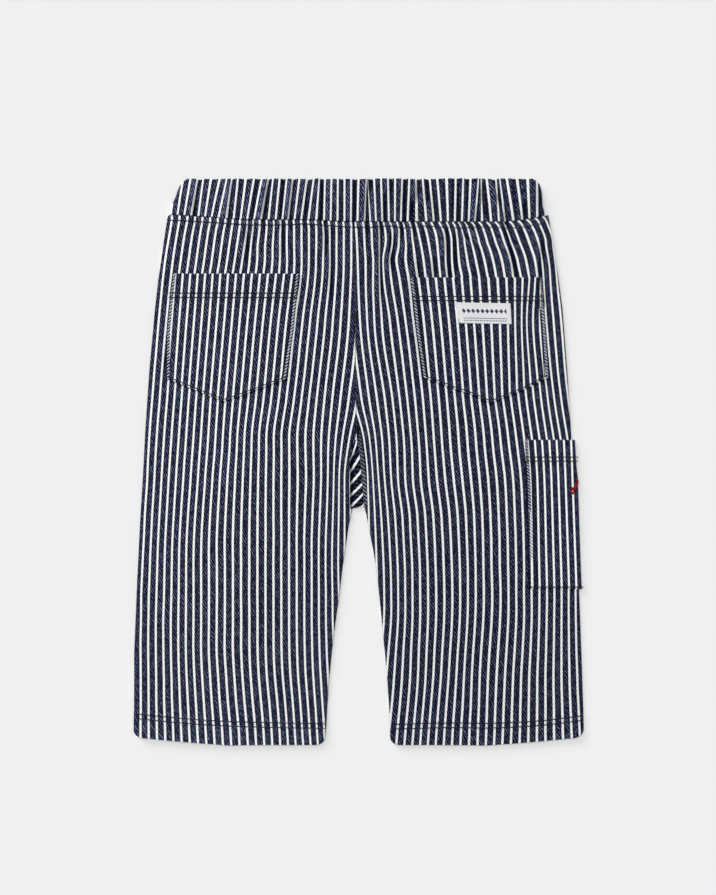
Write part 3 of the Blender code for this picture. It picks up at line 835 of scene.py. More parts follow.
def bandPiece(name, half, gathers, stripes):
    shape = waistband[half]
    creases = bandCreases(gathers)
    left, right = (fromTable(bandEnds, side, 14.0) for side in ("left", "right"))
    centres = [gather[1] for gather in gathers]
    share = crowded(left, right, shape["columns"], centres, 2.6, 2.0)
    ends = np.array((0, 0.0006, 0.0018, 0.0036, 0.006, 0.009))
    inner = share[(share > 0.0105) & (share < 0.9895)]
    share = np.concatenate([ends, inner, 1 - ends[::-1]])
    points, uvs, wearAndPaintedLight = [], [], []
    for part, value in bandRows():
        level = waistband["topTurn"] * (1 - math.cos(value)) if part == "turn" else value
        left, right = (fromTable(bandEnds, side, level) for side in ("left", "right"))
        x = mix(left, right, share)
        inwards = np.minimum(x - left, right - x)
        foot = seamLevel(x) - 0.12
        down = level + (foot - body["seam"]) * ease(level / body["seam"])
        stripe = stripes(x, down)
        relief = creaseEffect(creases, x, down)[0] * shape["relief"]
        # painted highlight on the gathers' rolls and lit facets, painted shade in their valleys
        wearAndPaintedLight.append(reliefWearAndLight(relief + 0.2, 1.0) + paleness(bandFacets, x, down))
        if half == "back":
            bulge = waistband["bulge"] * bell(level - 14.0, 14.0) + relief
            bulge = bulge + 0.14 * np.cos(2 * math.pi * stripe)
            bulge = bulge + 0.15 * unevenness(x, down, 9.0, 11)
        else:
            bulge = np.minimum(relief, 0)
        bulge = bulge * ease(inwards / 5.0)
        out = {"inside": 0.0, "turn": 0.5 + 0.5 * math.sin(value), "outside": 1.0}[part]
        z = mix(waistband["inside"] + 0.1 * relief, shape["face"] + bulge, out)
        if part == "outside":
            z = z - 0.3 * rolled(body["seam"] - level, 0.6)
        scallop = waistband["scallop"] * np.maximum(0, -relief) - 0.4 * unevenness(x, 0, 5.5, 61)
        down = down + scallop * (1 - ease(level / 6.0)) * ease(inwards / 5.0)
        z = mix(z, waistband["middle"] + 0.1 + 0.5 * out, rolled(inwards, waistband["turn"]))
        z = z if half == "back" else 2 * waistband["middle"] - z
        points.append(toMetres(x, down, z))
        along = -level if part == "inside" else level
        uvs.append(np.stack([stripe, np.full_like(x, along / cloth["pitch"])], -1))
    uvs = np.array(uvs)
    solid = None if half == "back" else slitCells(np.array(points))
    return wallMesh(name, np.array(points), cloth["wall"], uvs, flip=half == "front", solid=solid,
                    wearAndPaintedLight=np.array(wearAndPaintedLight))


def slitCells(points):  # every cell but those of the two slits
    slit = waistband["slit"]
    centre = points[:-1, :-1] / mm
    down = waistLine - centre[..., 1]
    beside = np.abs(np.abs(centre[..., 0]) - slit["x"]) < slit["width"] / 2
    outside = np.arange(len(points) - 1)[:, None] >= 21     # rows of the inside and the turn
    return ~(beside & outside & (down > slit["top"]) & (down < slit["foot"]))


# Patch pockets on the back: edges, foot line and twin stitches below the top edge.
leftPocket = {
    "down": (65.3, 79.3, 104.7, 137.5),
    "left": (-128.2, -129.9, -132.3, -132.6),
    "right": (-40.7, -42.3, -44.8, -49.8),
    "footX": (-132.2, -122.6, -113.3, -103, -93, -83.9, -76.8, -66.5, -59.3, -49.8),
    "footDown": (137.8, 141.6, 145.4, 149.5, 153.6, 150.6, 148.1, 144.2, 141.4, 138.2),
    "stitches": (13.4, 16.4),
    "ropes": (2.2, 2.1),   # width of the rope-like turned side edges
    "gapShadows": (0.0, 1.0),    # how dark the painted shadow beside them is
    "seamsAt": (0.5, 3.0), # how far in their stitches lie
    "tightStripe": 15.5,   # the cloth beyond it is drawn together at the edge
    "seed": 31,
}
rightPocket = {
    "down": (68, 81.5, 104, 136.8),
    "left": (35.6, 37.6, 40, 44.8),
    "right": (126.4, 127.4, 129, 131.2),
    "footX": (45.5, 59.6, 66.5, 77.8, 91.2, 98.9, 109.4, 118.6, 123.5, 131.2),
    "footDown": (137.3, 142.3, 145.1, 148.8, 154.6, 151.4, 147.2, 143, 140.1, 137),
    "stitches": (13, 15.8),
    "ropes": (2.0, 2.1),
    "gapShadows": (1.0, 0.8),
    "seamsAt": (3.1, 3.0),
    "tightStripe": -0.5,
    "seed": 32,
}
footSlant = 0.93       # distance across a slanting foot for each millimetre down
pocketCloth = {
    "hem": 0.5,            # how much the turned top edge stands up
    "edge": 0.5,           # the same for the turned sides
    "puff": 0.3,
    "inset": 1.6,          # the stitches of the foot lie this far in
}


def aboveFoot(shape, x, down):  # distance in from a pocket's slanting foot
    return (np.interp(x, shape["footX"], shape["footDown"]) - down) * footSlant


def pocketRelief(shape, x, down):
    top = shape["down"][0]
    left, right = edgesOf(shape, down)
    below, above = down - top, aboveFoot(shape, x, down)
    inside = np.minimum(np.minimum(x - left, right - x), above)
    relief = pocketCloth["hem"] * (1 - ease((below - shape["stitches"][1] - 0.4) / 1.4))
    relief = relief + pocketCloth["edge"] * bell(inside - 0.9, 1.2)
    relief = relief + 0.3 * bell(inside - 0.8, 0.45) * ease((below - 2) / 3)
    relief = relief + pocketCloth["puff"] * ease(inside / 22.0)
    relief = relief + sum(dip(below - line, x + line) for line in shape["stitches"])
    for distance in (above - pocketCloth["inset"], x - left - shape["seamsAt"][0],
                     right - x - shape["seamsAt"][1]):
        relief = relief + dip(distance, x + down, 0.42, 0.45) * ease((below - 2) / 3)
    fromSide = np.minimum(x - left, right - x)
    relief = relief + 0.3 * bell(fromSide - 1.5, 1.2) * ease((below - 1.0) / 3.0)
    relief = relief + 0.1 * unevenness(x, down, 8.0, shape["seed"])
    return relief - 0.35 * rolled(inside, 0.5) - 0.3 * rolled(below, 0.7)


def pocketHeight(shape, x, down):
    return backHeight(x, down) + cloth["clear"] + cloth["wall"] + pocketRelief(shape, x, down)


def patchPocket(name, shape, stripes):
    top = shape["down"][0]
    share = railed((np.array([0.0]), np.array([0.035]), np.array([0.965]), np.array([1.0])),
                   (6, 104, 6))[0]
    footAcross = np.interp(mix(shape["left"][-1], shape["right"][-1], share),
                           shape["footX"], shape["footDown"])
    deepest = max(shape["footDown"])
    rows = rowsOf((top, top + 1, 0.25), (top + 1, top + 19, 0.7), (top + 19, deepest - 4, 1.3),
                  (deepest - 4, deepest, 0.4))
    portion = (rows - top) / (deepest - top)
    down = mix(top, footAcross[None], portion[:, None])
    left, right = edgesOf(shape, down)
    x = mix(left, right, share[None])
    relief = pocketRelief(shape, x, down)
    z = pocketHeight(shape, x, down)
    wall = cloth["wall"] + np.maximum(0, relief * 0.8)
    stripe = stripes(x, down)
    tight = shape["tightStripe"]
    past = np.maximum(0, (stripe - tight) * np.sign(tight))
    stripe = stripe - 0.5 * past * np.sign(tight)
    uv = np.stack([stripe, down / cloth["pitch"]], -1)
    ropeCells = ((x - left < shape["ropes"][0]) | (right - x < shape["ropes"][1]))[:-1, :-1]
    foot, edge = aboveFoot(shape, x, down), np.minimum(x - left, right - x)
    # painted highlight along the bead of the foot, painted shadow at the foot's edge, along the sides
    # and in the gaps beside the ropes
    wearAndPaintedLight = 0.5 * bell(foot - 0.9, 0.4) - 1.4 * (1 - ease(foot / 0.4))
    wearAndPaintedLight = wearAndPaintedLight - 0.9 * (1 - ease(edge / 0.35))
    for distance, width, dark in zip((x - left, right - x), shape["ropes"], shape["gapShadows"]):
        wearAndPaintedLight = wearAndPaintedLight - dark * bell(distance - width - 0.8, 0.8)
    inwards = np.where(x - left < right - x, x - left, x - right + 2.7)
    ropes = navyEdge(inwards, down)
    return wallMesh(name, toMetres(x, down, z), wall, uv, patch=(ropeCells, ropes, 1), wearAndPaintedLight=wearAndPaintedLight)


sidePocket = {
    "down": (180, 195, 206, 237, 269, 282.5),
    "inner": (114.6, 115.5, 116.3, 117.3, 118.0, 118.4),
    "outer": (149.2, 150, 151.2, 152.2, 153.3, 153.9),
    "stitches": (11.6, 14.4),
    "rope": 1.9,           # width of its rope-like edge, down to the first of these levels
    "roped": (229, 262),   # to the second, its first stripe is drawn into strokes instead
    "strokes": 2.3,        # width of those
    "seamAt": 4.2,         # its edge stitches lie this far in
    "turn": 1.55,          # radius of the bend round the side seam
    "raise": 0.3,
    "footStitch": 1.4,     # how far above the foot its last stitches run
    "pitch": 5.3,          # from stripe to stripe where it goes round the side
}


def sidePocketPath(level, travel):
    # a point of the side pocket's outer face: travel runs from its inner edge on the back,
    # round the side seam and back on the front; also gives how far it is past the turn
    inner, outer = edgesOf(sidePocket, level)
    radius = sidePocket["turn"]
    flat = outer - radius - inner
    angle = np.clip((travel - flat) / radius, 0, math.pi)
    past = np.maximum(0, travel - flat - math.pi * radius)
    onBack = np.minimum(travel, flat)
    x = inner + onBack + radius * np.sin(angle) - past
    lift = 0.5 + 0.5 * np.cos(angle)
    below = level - sidePocket["down"][0]
    foot = sidePocket["down"][-1] - level
    edge = np.minimum(travel, np.minimum(below + 1.0, foot))
    relief = sidePocket["raise"] * (1 - ease((below - sidePocket["stitches"][1] - 0.4) / 1.4))
    relief = relief + 0.28 * bell(travel - 1.0, 1.3) - 0.3 * rolled(edge, 0.7)
    relief = relief + 0.3 * ease(travel / 14.0) * ease(below / 8.0) * ease(foot / 12.0)
    relief = relief + sum(dip(below - line, travel) for line in sidePocket["stitches"])
    relief = relief + dip(travel - sidePocket["seamAt"], level, 0.3)
    relief = relief + dip(foot - sidePocket["footStitch"], travel, 0.3)
    back = backHeight(np.minimum(x, outer - 6.0), level) + cloth["clear"] + cloth["wall"]
    under = np.maximum(0, 0.5 - 0.6 * relief)
    return x, mix(under, back + relief, lift), travel - flat


def wrappedPocket(name, stripes):
    top, foot = sidePocket["down"][0], sidePocket["down"][-1]
    rows = rowsOf((top, top + 1, 0.25), (top + 1, top + 18, 0.7), (top + 18, foot - 3.5, 1.3),
                  (foot - 3.5, foot, 0.4))
    radius = sidePocket["turn"]
    inner, outer = edgesOf(sidePocket, rows)
    turnAt = (outer - radius)[:, None]
    flat = outer - radius - inner
    arc = math.pi * radius
    stops = (0 * flat, 0 * flat + 2.4, flat, flat + arc, 2 * flat + arc - 2.4, 2 * flat + arc)
    travel = railed(stops, (8, 36, 14, 30, 6))
    level = np.broadcast_to(rows[:, None], travel.shape)
    x, z, turned = sidePocketPath(level, travel)
    stripe = np.where(turned > 0, stripes(turnAt, level) + turned / sidePocket["pitch"],
                      stripes(np.minimum(x, turnAt), level))
    ropedTo, strokesTo = sidePocket["roped"]
    wide = (1 - ease((travel - 2.2) / 2.0)) * ease((level - ropedTo + 3) / 8)
    stripe = stripe * (1 - 0.14 * wide)    # its first stripe is stretched towards the foot
    uv = np.stack([stripe, level / cloth["pitch"]], -1)
    roped = (travel < sidePocket["rope"]) & (level < ropedTo)
    stroked = (travel < sidePocket["strokes"]) & (level >= ropedTo) & (level < strokesTo)
    edges = np.where(roped[..., None], navyEdge(travel, level), uv)
    # painted shade along its edge, beside its edge stitches and at its foot; the rope-like edge a
    # little darker
    wearAndPaintedLight = -0.9 * (1 - ease(travel / 0.4)) - 0.6 * bell(travel - sidePocket["seamAt"], 0.9)
    wearAndPaintedLight = wearAndPaintedLight - 0.25 * roped - 1.4 * bell(level - foot, 0.5)
    patch = ((roped | stroked)[:-1, :-1], edges, (roped + 2 * stroked)[:-1, :-1])
    return wallMesh(name, toMetres(x, level, z), cloth["wall"], uv, patch=patch, wearAndPaintedLight=wearAndPaintedLight)


label = {
    "down": (85.5, 99.6),
    "left": (66.4, 69.7),
    "right": (104.5, 105.4),
    "dipAcross": 0.7,      # its edges run a little downhill to the right
    "wall": 0.32,
    "fold": 4.0,
}


def labelPoints(share, portion):
    left, right = (mix(label[side][0], label[side][1], portion) for side in ("left", "right"))
    x = mix(left, right, share)
    down = mix(label["down"][0], label["down"][1], portion) + label["dipAcross"] * (share - 0.5)
    ends = np.minimum(x - left, right - x)
    long = np.minimum(portion, 1 - portion) * (label["down"][1] - label["down"][0])
    z = pocketHeight(rightPocket, x, down) + label["wall"] + 0.06
    z = z + 0.16 * (1 - ease((ends - label["fold"]) / 0.8)) + 0.12 * unevenness(x, down, 11.0, 52)
    z = z - 0.12 * bell(ends - 1.2, 0.5) + 0.1 * bell(long - 0.6, 0.5)
    return x, down, z


def wovenLabel(name):
    share = np.linspace(0, 1, 70)[None]
    portion = np.linspace(0, 1, 34)[:, None]
    x, down, z = labelPoints(share, portion)
    size = (label["right"][0] - label["left"][0], label["down"][1] - label["down"][0])
    uv = np.stack(np.broadcast_arrays(share * size[0], portion * size[1]), -1)
    return wallMesh(name, toMetres(x, down, z), label["wall"], uv)


print("shapes ready")


def addNode(tree, kind, *inputs, **settings):
    made = tree.nodes.new(kind)
    for key, value in settings.items():
        setattr(made, key, value)
    for socket, value in zip(made.inputs, inputs):
        if isinstance(value, bpy.types.NodeSocket):
            tree.links.new(value, socket)
        elif value is not None:
            socket.default_value = value
    return made


def feed(tree, node, **given):  # sets or links inputs by name, where _ stands for a space
    for key, value in given.items():
        socket = node.inputs[key.replace("_", " ")]
        if isinstance(value, bpy.types.NodeSocket):
            tree.links.new(value, socket)
        else:
            socket.default_value = value
    return node.outputs


def calc(tree, operation, *values):
    return addNode(tree, "ShaderNodeMath", *values, operation=operation).outputs[0]


def spread(tree, value, low, high, toLow=0.0, toHigh=1.0, smooth=True):
    kind = "SMOOTHSTEP" if smooth else "LINEAR"
    made = addNode(tree, "ShaderNodeMapRange", value, low, high, toLow, toHigh,
                   interpolation_type=kind)
    return made.outputs[0]


def blendColour(tree, share, a, b):
    made = addNode(tree, "ShaderNodeMix", data_type="RGBA")
    for index, value in ((0, share), (6, a), (7, b)):
        if isinstance(value, bpy.types.NodeSocket):
            tree.links.new(value, made.inputs[index])
        else:
            made.inputs[index].default_value = value
    return made.outputs[2]


def noiseAt(tree, vector, scale, detail=2.0, roughness=0.5):
    made = addNode(tree, "ShaderNodeTexNoise", noise_dimensions="3D")
    return feed(tree, made, Vector=vector, Scale=scale, Detail=detail, Roughness=roughness)[0]


def paint(red, green, blue):  # a colour as the eye reads it, 0 to 255, made linear
    return tuple(((c / 255 + 0.055) / 1.055) ** 2.4 if c > 10 else c / 255 / 12.92
                 for c in (red, green, blue)) + (1.0,)


def effectGroup(name, inputs, outputs):
    tree = bpy.data.node_groups.new(name, "ShaderNodeTree")
    for title, kind, value in inputs:
        socket = tree.interface.new_socket(title, in_out="INPUT", socket_type=kind)
        if value is not None:
            socket.default_value = value
    for title in outputs:
        tree.interface.new_socket(title, in_out="OUTPUT", socket_type="NodeSocketFloat")
    given = tree.nodes.new("NodeGroupInput").outputs
    result = tree.nodes.new("NodeGroupOutput").inputs
    return tree, given, result


def twillWeaveGroup():
    tree, given, result = effectGroup("twillWeave", (
        ("Cloth", "NodeSocketVector", None),
        ("Lines across", "NodeSocketFloat", 3.0),       # diagonal lines to one stripe's pitch
        ("Lines along", "NodeSocketFloat", -1.95),
        ("Dashes", "NodeSocketFloat", 0.62),            # how short the pieces of a line are
        ("Broken", "NodeSocketFloat", 0.7),
        ("Sharp", "NodeSocketFloat", 3.0),
        ("Wander", "NodeSocketFloat", 1.1),
        ("Mottled", "NodeSocketFloat", 0.4),
    ), ("Wale", "Ridge"))
    parts = addNode(tree, "ShaderNodeSeparateXYZ", given["Cloth"]).outputs
    wander = calc(tree, "MULTIPLY", noiseAt(tree, given["Cloth"], 2.0, 1.0), given["Wander"])
    across = calc(tree, "MULTIPLY", parts[0], given["Lines across"])
    along = calc(tree, "MULTIPLY", parts[1], given["Lines along"])
    phase = calc(tree, "ADD", calc(tree, "ADD", across, along), wander)
    wave = calc(tree, "COSINE", calc(tree, "MULTIPLY", phase, 2 * math.pi))
    wale = calc(tree, "MULTIPLY_ADD", wave, 0.5, 0.5)
    ridge = calc(tree, "POWER", wale, given["Sharp"])
    # each line is broken up on its own, so its number is one of the noise's coordinates
    travelled = calc(tree, "SUBTRACT", calc(tree, "MULTIPLY", parts[1], given["Lines across"]),
                     calc(tree, "MULTIPLY", parts[0], given["Lines along"]))
    dashes = calc(tree, "MULTIPLY", travelled, given["Dashes"])
    number = calc(tree, "MULTIPLY", calc(tree, "ROUND", phase), 5.17)
    perLine = addNode(tree, "ShaderNodeCombineXYZ", dashes, number).outputs[0]
    knots = spread(tree, noiseAt(tree, perLine, 1.0, 0.0), 0.40, 0.60)
    broken = calc(tree, "MULTIPLY_ADD", calc(tree, "SUBTRACT", knots, 1.0), given["Broken"], 1.0)
    mottle = calc(tree, "SUBTRACT", noiseAt(tree, given["Cloth"], 2.4, 2.0, 0.7), 0.5)
    mottle = calc(tree, "MULTIPLY_ADD", calc(tree, "MULTIPLY", mottle, 4.0), given["Mottled"], 1.0)
    mottle = calc(tree, "MAXIMUM", mottle, 0.1)
    lit = calc(tree, "MULTIPLY", calc(tree, "MULTIPLY", ridge, broken), mottle)
    tree.links.new(wale, result["Wale"])
    tree.links.new(lit, result["Ridge"])
    return tree


def stripeGroup():
    tree, given, result = effectGroup("clothStripes", (
        ("Cloth", "NodeSocketVector", None),
        ("Wale", "NodeSocketFloat", 0.5),
        ("White share", "NodeSocketFloat", 0.266),
        ("Ragged", "NodeSocketFloat", 0.025),
        ("Soft", "NodeSocketFloat", 0.03),
    ), ("White", "Beside"))
    across = addNode(tree, "ShaderNodeSeparateXYZ", given["Cloth"]).outputs[0]
    shifted = calc(tree, "FRACT", calc(tree, "ADD", across, 0.5))
    fromMiddle = calc(tree, "ABSOLUTE", calc(tree, "SUBTRACT", shifted, 0.5))
    uneven = calc(tree, "SUBTRACT", noiseAt(tree, given["Cloth"], 2.6), 0.5)
    jag = calc(tree, "ADD", calc(tree, "SUBTRACT", given["Wale"], 0.5), uneven)
    edge = calc(tree, "MULTIPLY", given["White share"], 0.5)
    edge = calc(tree, "MULTIPLY_ADD", jag, given["Ragged"], edge)
    over = calc(tree, "DIVIDE", calc(tree, "SUBTRACT", edge, fromMiddle), given["Soft"])
    tree.links.new(spread(tree, over, -0.5, 0.5), result["White"])
    tree.links.new(spread(tree, fromMiddle, 0.30, 0.13), result["Beside"])
    return tree


def surfaceWearGroup():
    tree, given, result = effectGroup("clothWear", (
        ("Place", "NodeSocketVector", None),
        ("Scale", "NodeSocketFloat", 30.0),
        ("Amount", "NodeSocketFloat", 0.5),
    ), ("Fade", "Fuzz"))
    centred = calc(tree, "SUBTRACT", noiseAt(tree, given["Place"], given["Scale"]), 0.5)
    tree.links.new(calc(tree, "MULTIPLY", centred, given["Amount"]), result["Fade"])
    fine = noiseAt(tree, given["Place"], 2600.0, 1.0)
    tree.links.new(calc(tree, "SUBTRACT", fine, 0.5), result["Fuzz"])
    return tree


effects = {"twill": twillWeaveGroup(), "stripes": stripeGroup(), "wear": surfaceWearGroup()}


def placeGroup(tree, name, **given):
    made = tree.nodes.new("ShaderNodeGroup")
    made.node_tree = effects[name]
    return feed(tree, made, **given)


def newMaterial(name, roughness, sheen=0.0, specular=0.3):
    made = bpy.data.materials.new(name)
    made.use_nodes = True
    shader = made.node_tree.nodes["Principled BSDF"]
    feed(made.node_tree, shader, Roughness=roughness, Sheen_Weight=sheen, Sheen_Roughness=0.5,
         Specular_IOR_Level=specular)
    return made, made.node_tree, shader


def bumpInto(tree, shader, height, strength, distance):
    made = addNode(tree, "ShaderNodeBump")
    normal = feed(tree, made, Strength=strength, Distance=distance, Height=height)[0]
    feed(tree, shader, Normal=normal)


twillColours = {
    "navyDark": paint(5, 6, 30),
    "plumLight": paint(150, 145, 195),
    "tealLight": paint(130, 154, 187),
    "ropePlum": paint(224, 224, 246),
    "ropeTeal": paint(216, 225, 243),
    "white": paint(249, 249, 245),
    "whiteShade": paint(231, 233, 236),
    "ropeShade": paint(84, 90, 124),
    "paleShade": paint(150, 156, 182),
}


twillTurn = {              # how the cloth changes across the garment, and the painted shade over it; x and y in metres
    "across": (-0.10, 0.04),
    "sharp": (3.0, 3.9),       # the lines of the twill get finer
    "strength": (0.53, 0.47),  # and darker, a painted shade
    "shadeAcross": (-0.10, 0.02),
    "shadeDown": (0.0, -0.12),
    "sunk": 0.85,              # the painted shade of the whites where the paleness per point is -2
}


def stripedTwill(name, colours, strength=1.0, shade=(0.095, 0.075), **weave):
    # colours are the two lights of the navy and the shade of the white; shade is how much
    # painted shade darkens the cloth to the right and towards the hems
    made, tree, shader = newMaterial(name, 0.95, 0.0, 0.08)
    clothMap = addNode(tree, "ShaderNodeUVMap", uv_map="cloth").outputs[0]
    place = addNode(tree, "ShaderNodeTexCoord").outputs["Object"]
    wearAndPaintedLight = addNode(tree, "ShaderNodeAttribute", attribute_name="wearAndPaintedLight").outputs["Fac"]
    parts = addNode(tree, "ShaderNodeSeparateXYZ", place).outputs

    def turning(value, stretch, low, high):
        return spread(tree, value, *stretch, low, high, smooth=False)

    if not weave:
        weave = {"Sharp": turning(parts[0], twillTurn["across"], *twillTurn["sharp"])}
    twill = placeGroup(tree, "twill", Cloth=clothMap, **weave)
    stripes = placeGroup(tree, "stripes", Cloth=clothMap, Wale=twill["Wale"])
    rubs = placeGroup(tree, "wear", Place=place, Scale=26.0, Amount=0.5)
    tone = calc(tree, "MULTIPLY_ADD", stripes["Beside"], -0.5, 1.0)
    # the paleness per point, painted highlight and painted shade with some wear, and random wear
    # scale the navy's twill
    wearAndLightTone = calc(tree, "ADD", calc(tree, "ADD", wearAndPaintedLight, 1.0), rubs["Fade"])
    tone = calc(tree, "MAXIMUM", calc(tree, "MULTIPLY", tone, wearAndLightTone), 0.0)
    tone = calc(tree, "MULTIPLY", twill["Ridge"], tone)
    # painted shade: the navy's twill dims to the right
    strengths = [strength * each for each in twillTurn["strength"]]
    tone = calc(tree, "MULTIPLY", tone, turning(parts[0], twillTurn["across"], *strengths))
    hue = spread(tree, noiseAt(tree, clothMap, 1.3, 1.0), 0.35, 0.65)
    plum, teal, whiteShade = (twillColours[each] for each in colours)
    navy = blendColour(tree, tone, twillColours["navyDark"], blendColour(tree, hue, plum, teal))
    white = blendColour(tree, twill["Wale"], whiteShade, twillColours["white"])
    colour = blendColour(tree, stripes["White"], navy, white)
    # painted shade: darker to the right and towards the hems
    aside = turning(parts[0], twillTurn["shadeAcross"], 0.0, shade[0])
    low = turning(parts[1], twillTurn["shadeDown"], 0.0, shade[1])
    # painted shade on the whites too, where the cloth is darkened most
    sunk = turning(wearAndPaintedLight, (-1.0, -2.0), 0.0, twillTurn["sunk"])
    shaded = calc(tree, "ADD", calc(tree, "ADD", aside, low), sunk)
    feed(tree, shader, Base_Color=blendColour(tree, shaded, colour, (0, 0, 0, 1)))
    height = calc(tree, "MULTIPLY_ADD", rubs["Fuzz"], 0.3, twill["Ridge"])
    bumpInto(tree, shader, height, 0.5, 0.00018)
    return made


def threadMaterial(name, dark, light, sheen, roughness):
    made, tree, shader = newMaterial(name, roughness, sheen, 0.3)
    place = addNode(tree, "ShaderNodeTexCoord").outputs["Object"]
    rubs = placeGroup(tree, "wear", Place=place, Scale=900.0, Amount=0.9)
    ply = noiseAt(tree, place, 4200.0, 1.0)
    tone = calc(tree, "ADD", ply, rubs["Fade"])
    feed(tree, shader, Base_Color=blendColour(tree, tone, dark, light))
    bumpInto(tree, shader, ply, 0.5, 0.0001)
    return made


def labelMaterial():
    # a close woven ground with a plain border and one row of small lozenges
    made, tree, shader = newMaterial("labelWeave", 0.62, 0.1, 0.35)
    clothMap = addNode(tree, "ShaderNodeUVMap", uv_map="cloth").outputs[0]
    place = addNode(tree, "ShaderNodeTexCoord").outputs["Object"]
    parts = addNode(tree, "ShaderNodeSeparateXYZ", clothMap).outputs
    rubs = placeGroup(tree, "wear", Place=place, Scale=160.0, Amount=0.3)

    def lozenges(step, row, size, slant):
        across = calc(tree, "FRACT", calc(tree, "DIVIDE", parts[0], step))
        across = calc(tree, "ABSOLUTE", calc(tree, "SUBTRACT", across, 0.5))
        across = calc(tree, "MULTIPLY", across, step * slant)
        down = calc(tree, "ABSOLUTE", calc(tree, "SUBTRACT", parts[1], row))
        return spread(tree, calc(tree, "ADD", across, down), size + 0.12, size - 0.12)

    def line(row, width):
        down = calc(tree, "ABSOLUTE", calc(tree, "SUBTRACT", parts[1], row))
        return spread(tree, down, width / 2 + 0.1, width / 2 - 0.1)

    figure = calc(tree, "MAXIMUM", lozenges(3.3, 5.6, 1.7, 1.15), line(10.6, 0.45))
    figure = calc(tree, "MAXIMUM", figure, lozenges(1.65, 12.2, 0.6, 1.0))
    inset = calc(tree, "ABSOLUTE", calc(tree, "SUBTRACT", parts[0], 19.4))
    figure = calc(tree, "MULTIPLY", figure, spread(tree, inset, 15.7, 15.5))
    warp = calc(tree, "SINE", calc(tree, "MULTIPLY", parts[0], 2 * math.pi * 3.2))
    weft = calc(tree, "SINE", calc(tree, "MULTIPLY", parts[1], 2 * math.pi * 2.6))
    weave = calc(tree, "MULTIPLY_ADD", calc(tree, "MULTIPLY", warp, weft), 0.5, 0.5)
    ground = blendColour(tree, calc(tree, "ADD", weave, rubs["Fade"]),
                         paint(196, 197, 200), paint(232, 232, 233))
    inked = blendColour(tree, weave, paint(30, 34, 58), paint(52, 56, 82))
    feed(tree, shader, Base_Color=blendColour(tree, figure, ground, inked))
    bumpInto(tree, shader, calc(tree, "MULTIPLY_ADD", figure, 0.5, weave), 0.35, 0.00012)
    return made


plainColours = ("plumLight", "tealLight", "whiteShade")
ropeColours = ("ropePlum", "ropeTeal", "ropeShade")
ropeWeave = {"Sharp": 2.2, "Broken": 0.2, "Lines_across": 2.2, "Wander": 0.4}

finishes = {
    "twill": stripedTwill("stripedTwill", plainColours),
    # a copy of the twill with less painted shade, as the side pocket stands raised
    "litWhenRaised": stripedTwill("lessShadedTwill", plainColours, shade=(0.06, 0.0)),
    "rope": stripedTwill("turnedEdge", ropeColours, 2.3, Lines_along=-2.6, **ropeWeave),
    "ropeLeft": stripedTwill("turnedEdgeLeft", ropeColours, 2.3, Lines_along=2.6, **ropeWeave),
    "strokes": stripedTwill("turnedWhiteEdge", ("ropePlum", "ropeTeal", "paleShade"), 1.5,
                            Lines_along=-2.6, **ropeWeave),
    "navyThread": threadMaterial("navyThread", paint(6, 7, 20), paint(22, 25, 44), 0.0, 0.8),
    "redThread": threadMaterial("redThread", paint(76, 0, 7), paint(154, 0, 18), 0.0, 0.8),
    "greyThread": threadMaterial("greyThread", paint(196, 198, 204), paint(238, 238, 240), 0.1,
                                 0.6),
    "label": labelMaterial(),
}
print("materials ready")


def stitchTree():  # lays stitches end to end along a path
    tree = bpy.data.node_groups.new("threadStitches", "GeometryNodeTree")
    face = tree.interface
    face.new_socket("Path", in_out="INPUT", socket_type="NodeSocketGeometry")
    wanted = (("Pitch", "NodeSocketFloat", 0.0029), ("Stitch", "NodeSocketFloat", 0.0040),
              ("Thread", "NodeSocketFloat", 0.00074), ("Flatness", "NodeSocketFloat", 0.7),
              ("Uneven", "NodeSocketFloat", 0.12), ("Seed", "NodeSocketInt", 1))
    for name, kind, value in wanted:
        face.new_socket(name, in_out="INPUT", socket_type=kind).default_value = value
    face.new_socket("Finish", in_out="INPUT", socket_type="NodeSocketMaterial")
    face.new_socket("Stitches", in_out="OUTPUT", socket_type="NodeSocketGeometry")
    given = tree.nodes.new("NodeGroupInput").outputs
    result = tree.nodes.new("NodeGroupOutput").inputs
    spaced = feed(tree, addNode(tree, "GeometryNodeResampleCurve", mode="LENGTH"),
                  Curve=given["Path"], Length=given["Pitch"])
    turn = addNode(tree, "FunctionNodeAlignRotationToVector", axis="X", pivot_axis="AUTO")
    turned = feed(tree, turn, Vector=addNode(tree, "GeometryNodeInputTangent").outputs[0])
    chance = addNode(tree, "FunctionNodeRandomValue", data_type="FLOAT")
    low, high = (calc(tree, "MULTIPLY_ADD", given["Uneven"], sign, 1.0) for sign in (-1.0, 1.0))
    floats = [socket for socket in chance.inputs if socket.type == "VALUE"]
    tree.links.new(low, floats[0])
    tree.links.new(high, floats[1])
    feed(tree, chance, Seed=given["Seed"])
    vary = next(socket for socket in chance.outputs if socket.type == "VALUE")
    size = addNode(tree, "ShaderNodeCombineXYZ", calc(tree, "MULTIPLY", given["Stitch"], vary),
                   given["Thread"], calc(tree, "MULTIPLY", given["Thread"], given["Flatness"]))
    grain = feed(tree, addNode(tree, "GeometryNodeMeshUVSphere"), Segments=8, Rings=6, Radius=0.5)
    laid = feed(tree, addNode(tree, "GeometryNodeTransform"), Geometry=grain[0],
                Rotation=(0, math.pi / 2, 0))
    onPath = feed(tree, addNode(tree, "GeometryNodeInstanceOnPoints"), Points=spaced[0],
                  Instance=laid[0], Rotation=turned[0], Scale=size.outputs[0])
    real = addNode(tree, "GeometryNodeRealizeInstances", onPath[0])
    smooth = feed(tree, addNode(tree, "GeometryNodeSetShadeSmooth"), Geometry=real.outputs[0])
    finish = feed(tree, addNode(tree, "GeometryNodeSetMaterial"), Geometry=smooth[0],
                  Material=given["Finish"])
    tree.links.new(finish[0], result[0])
    return tree


stitches = stitchTree()


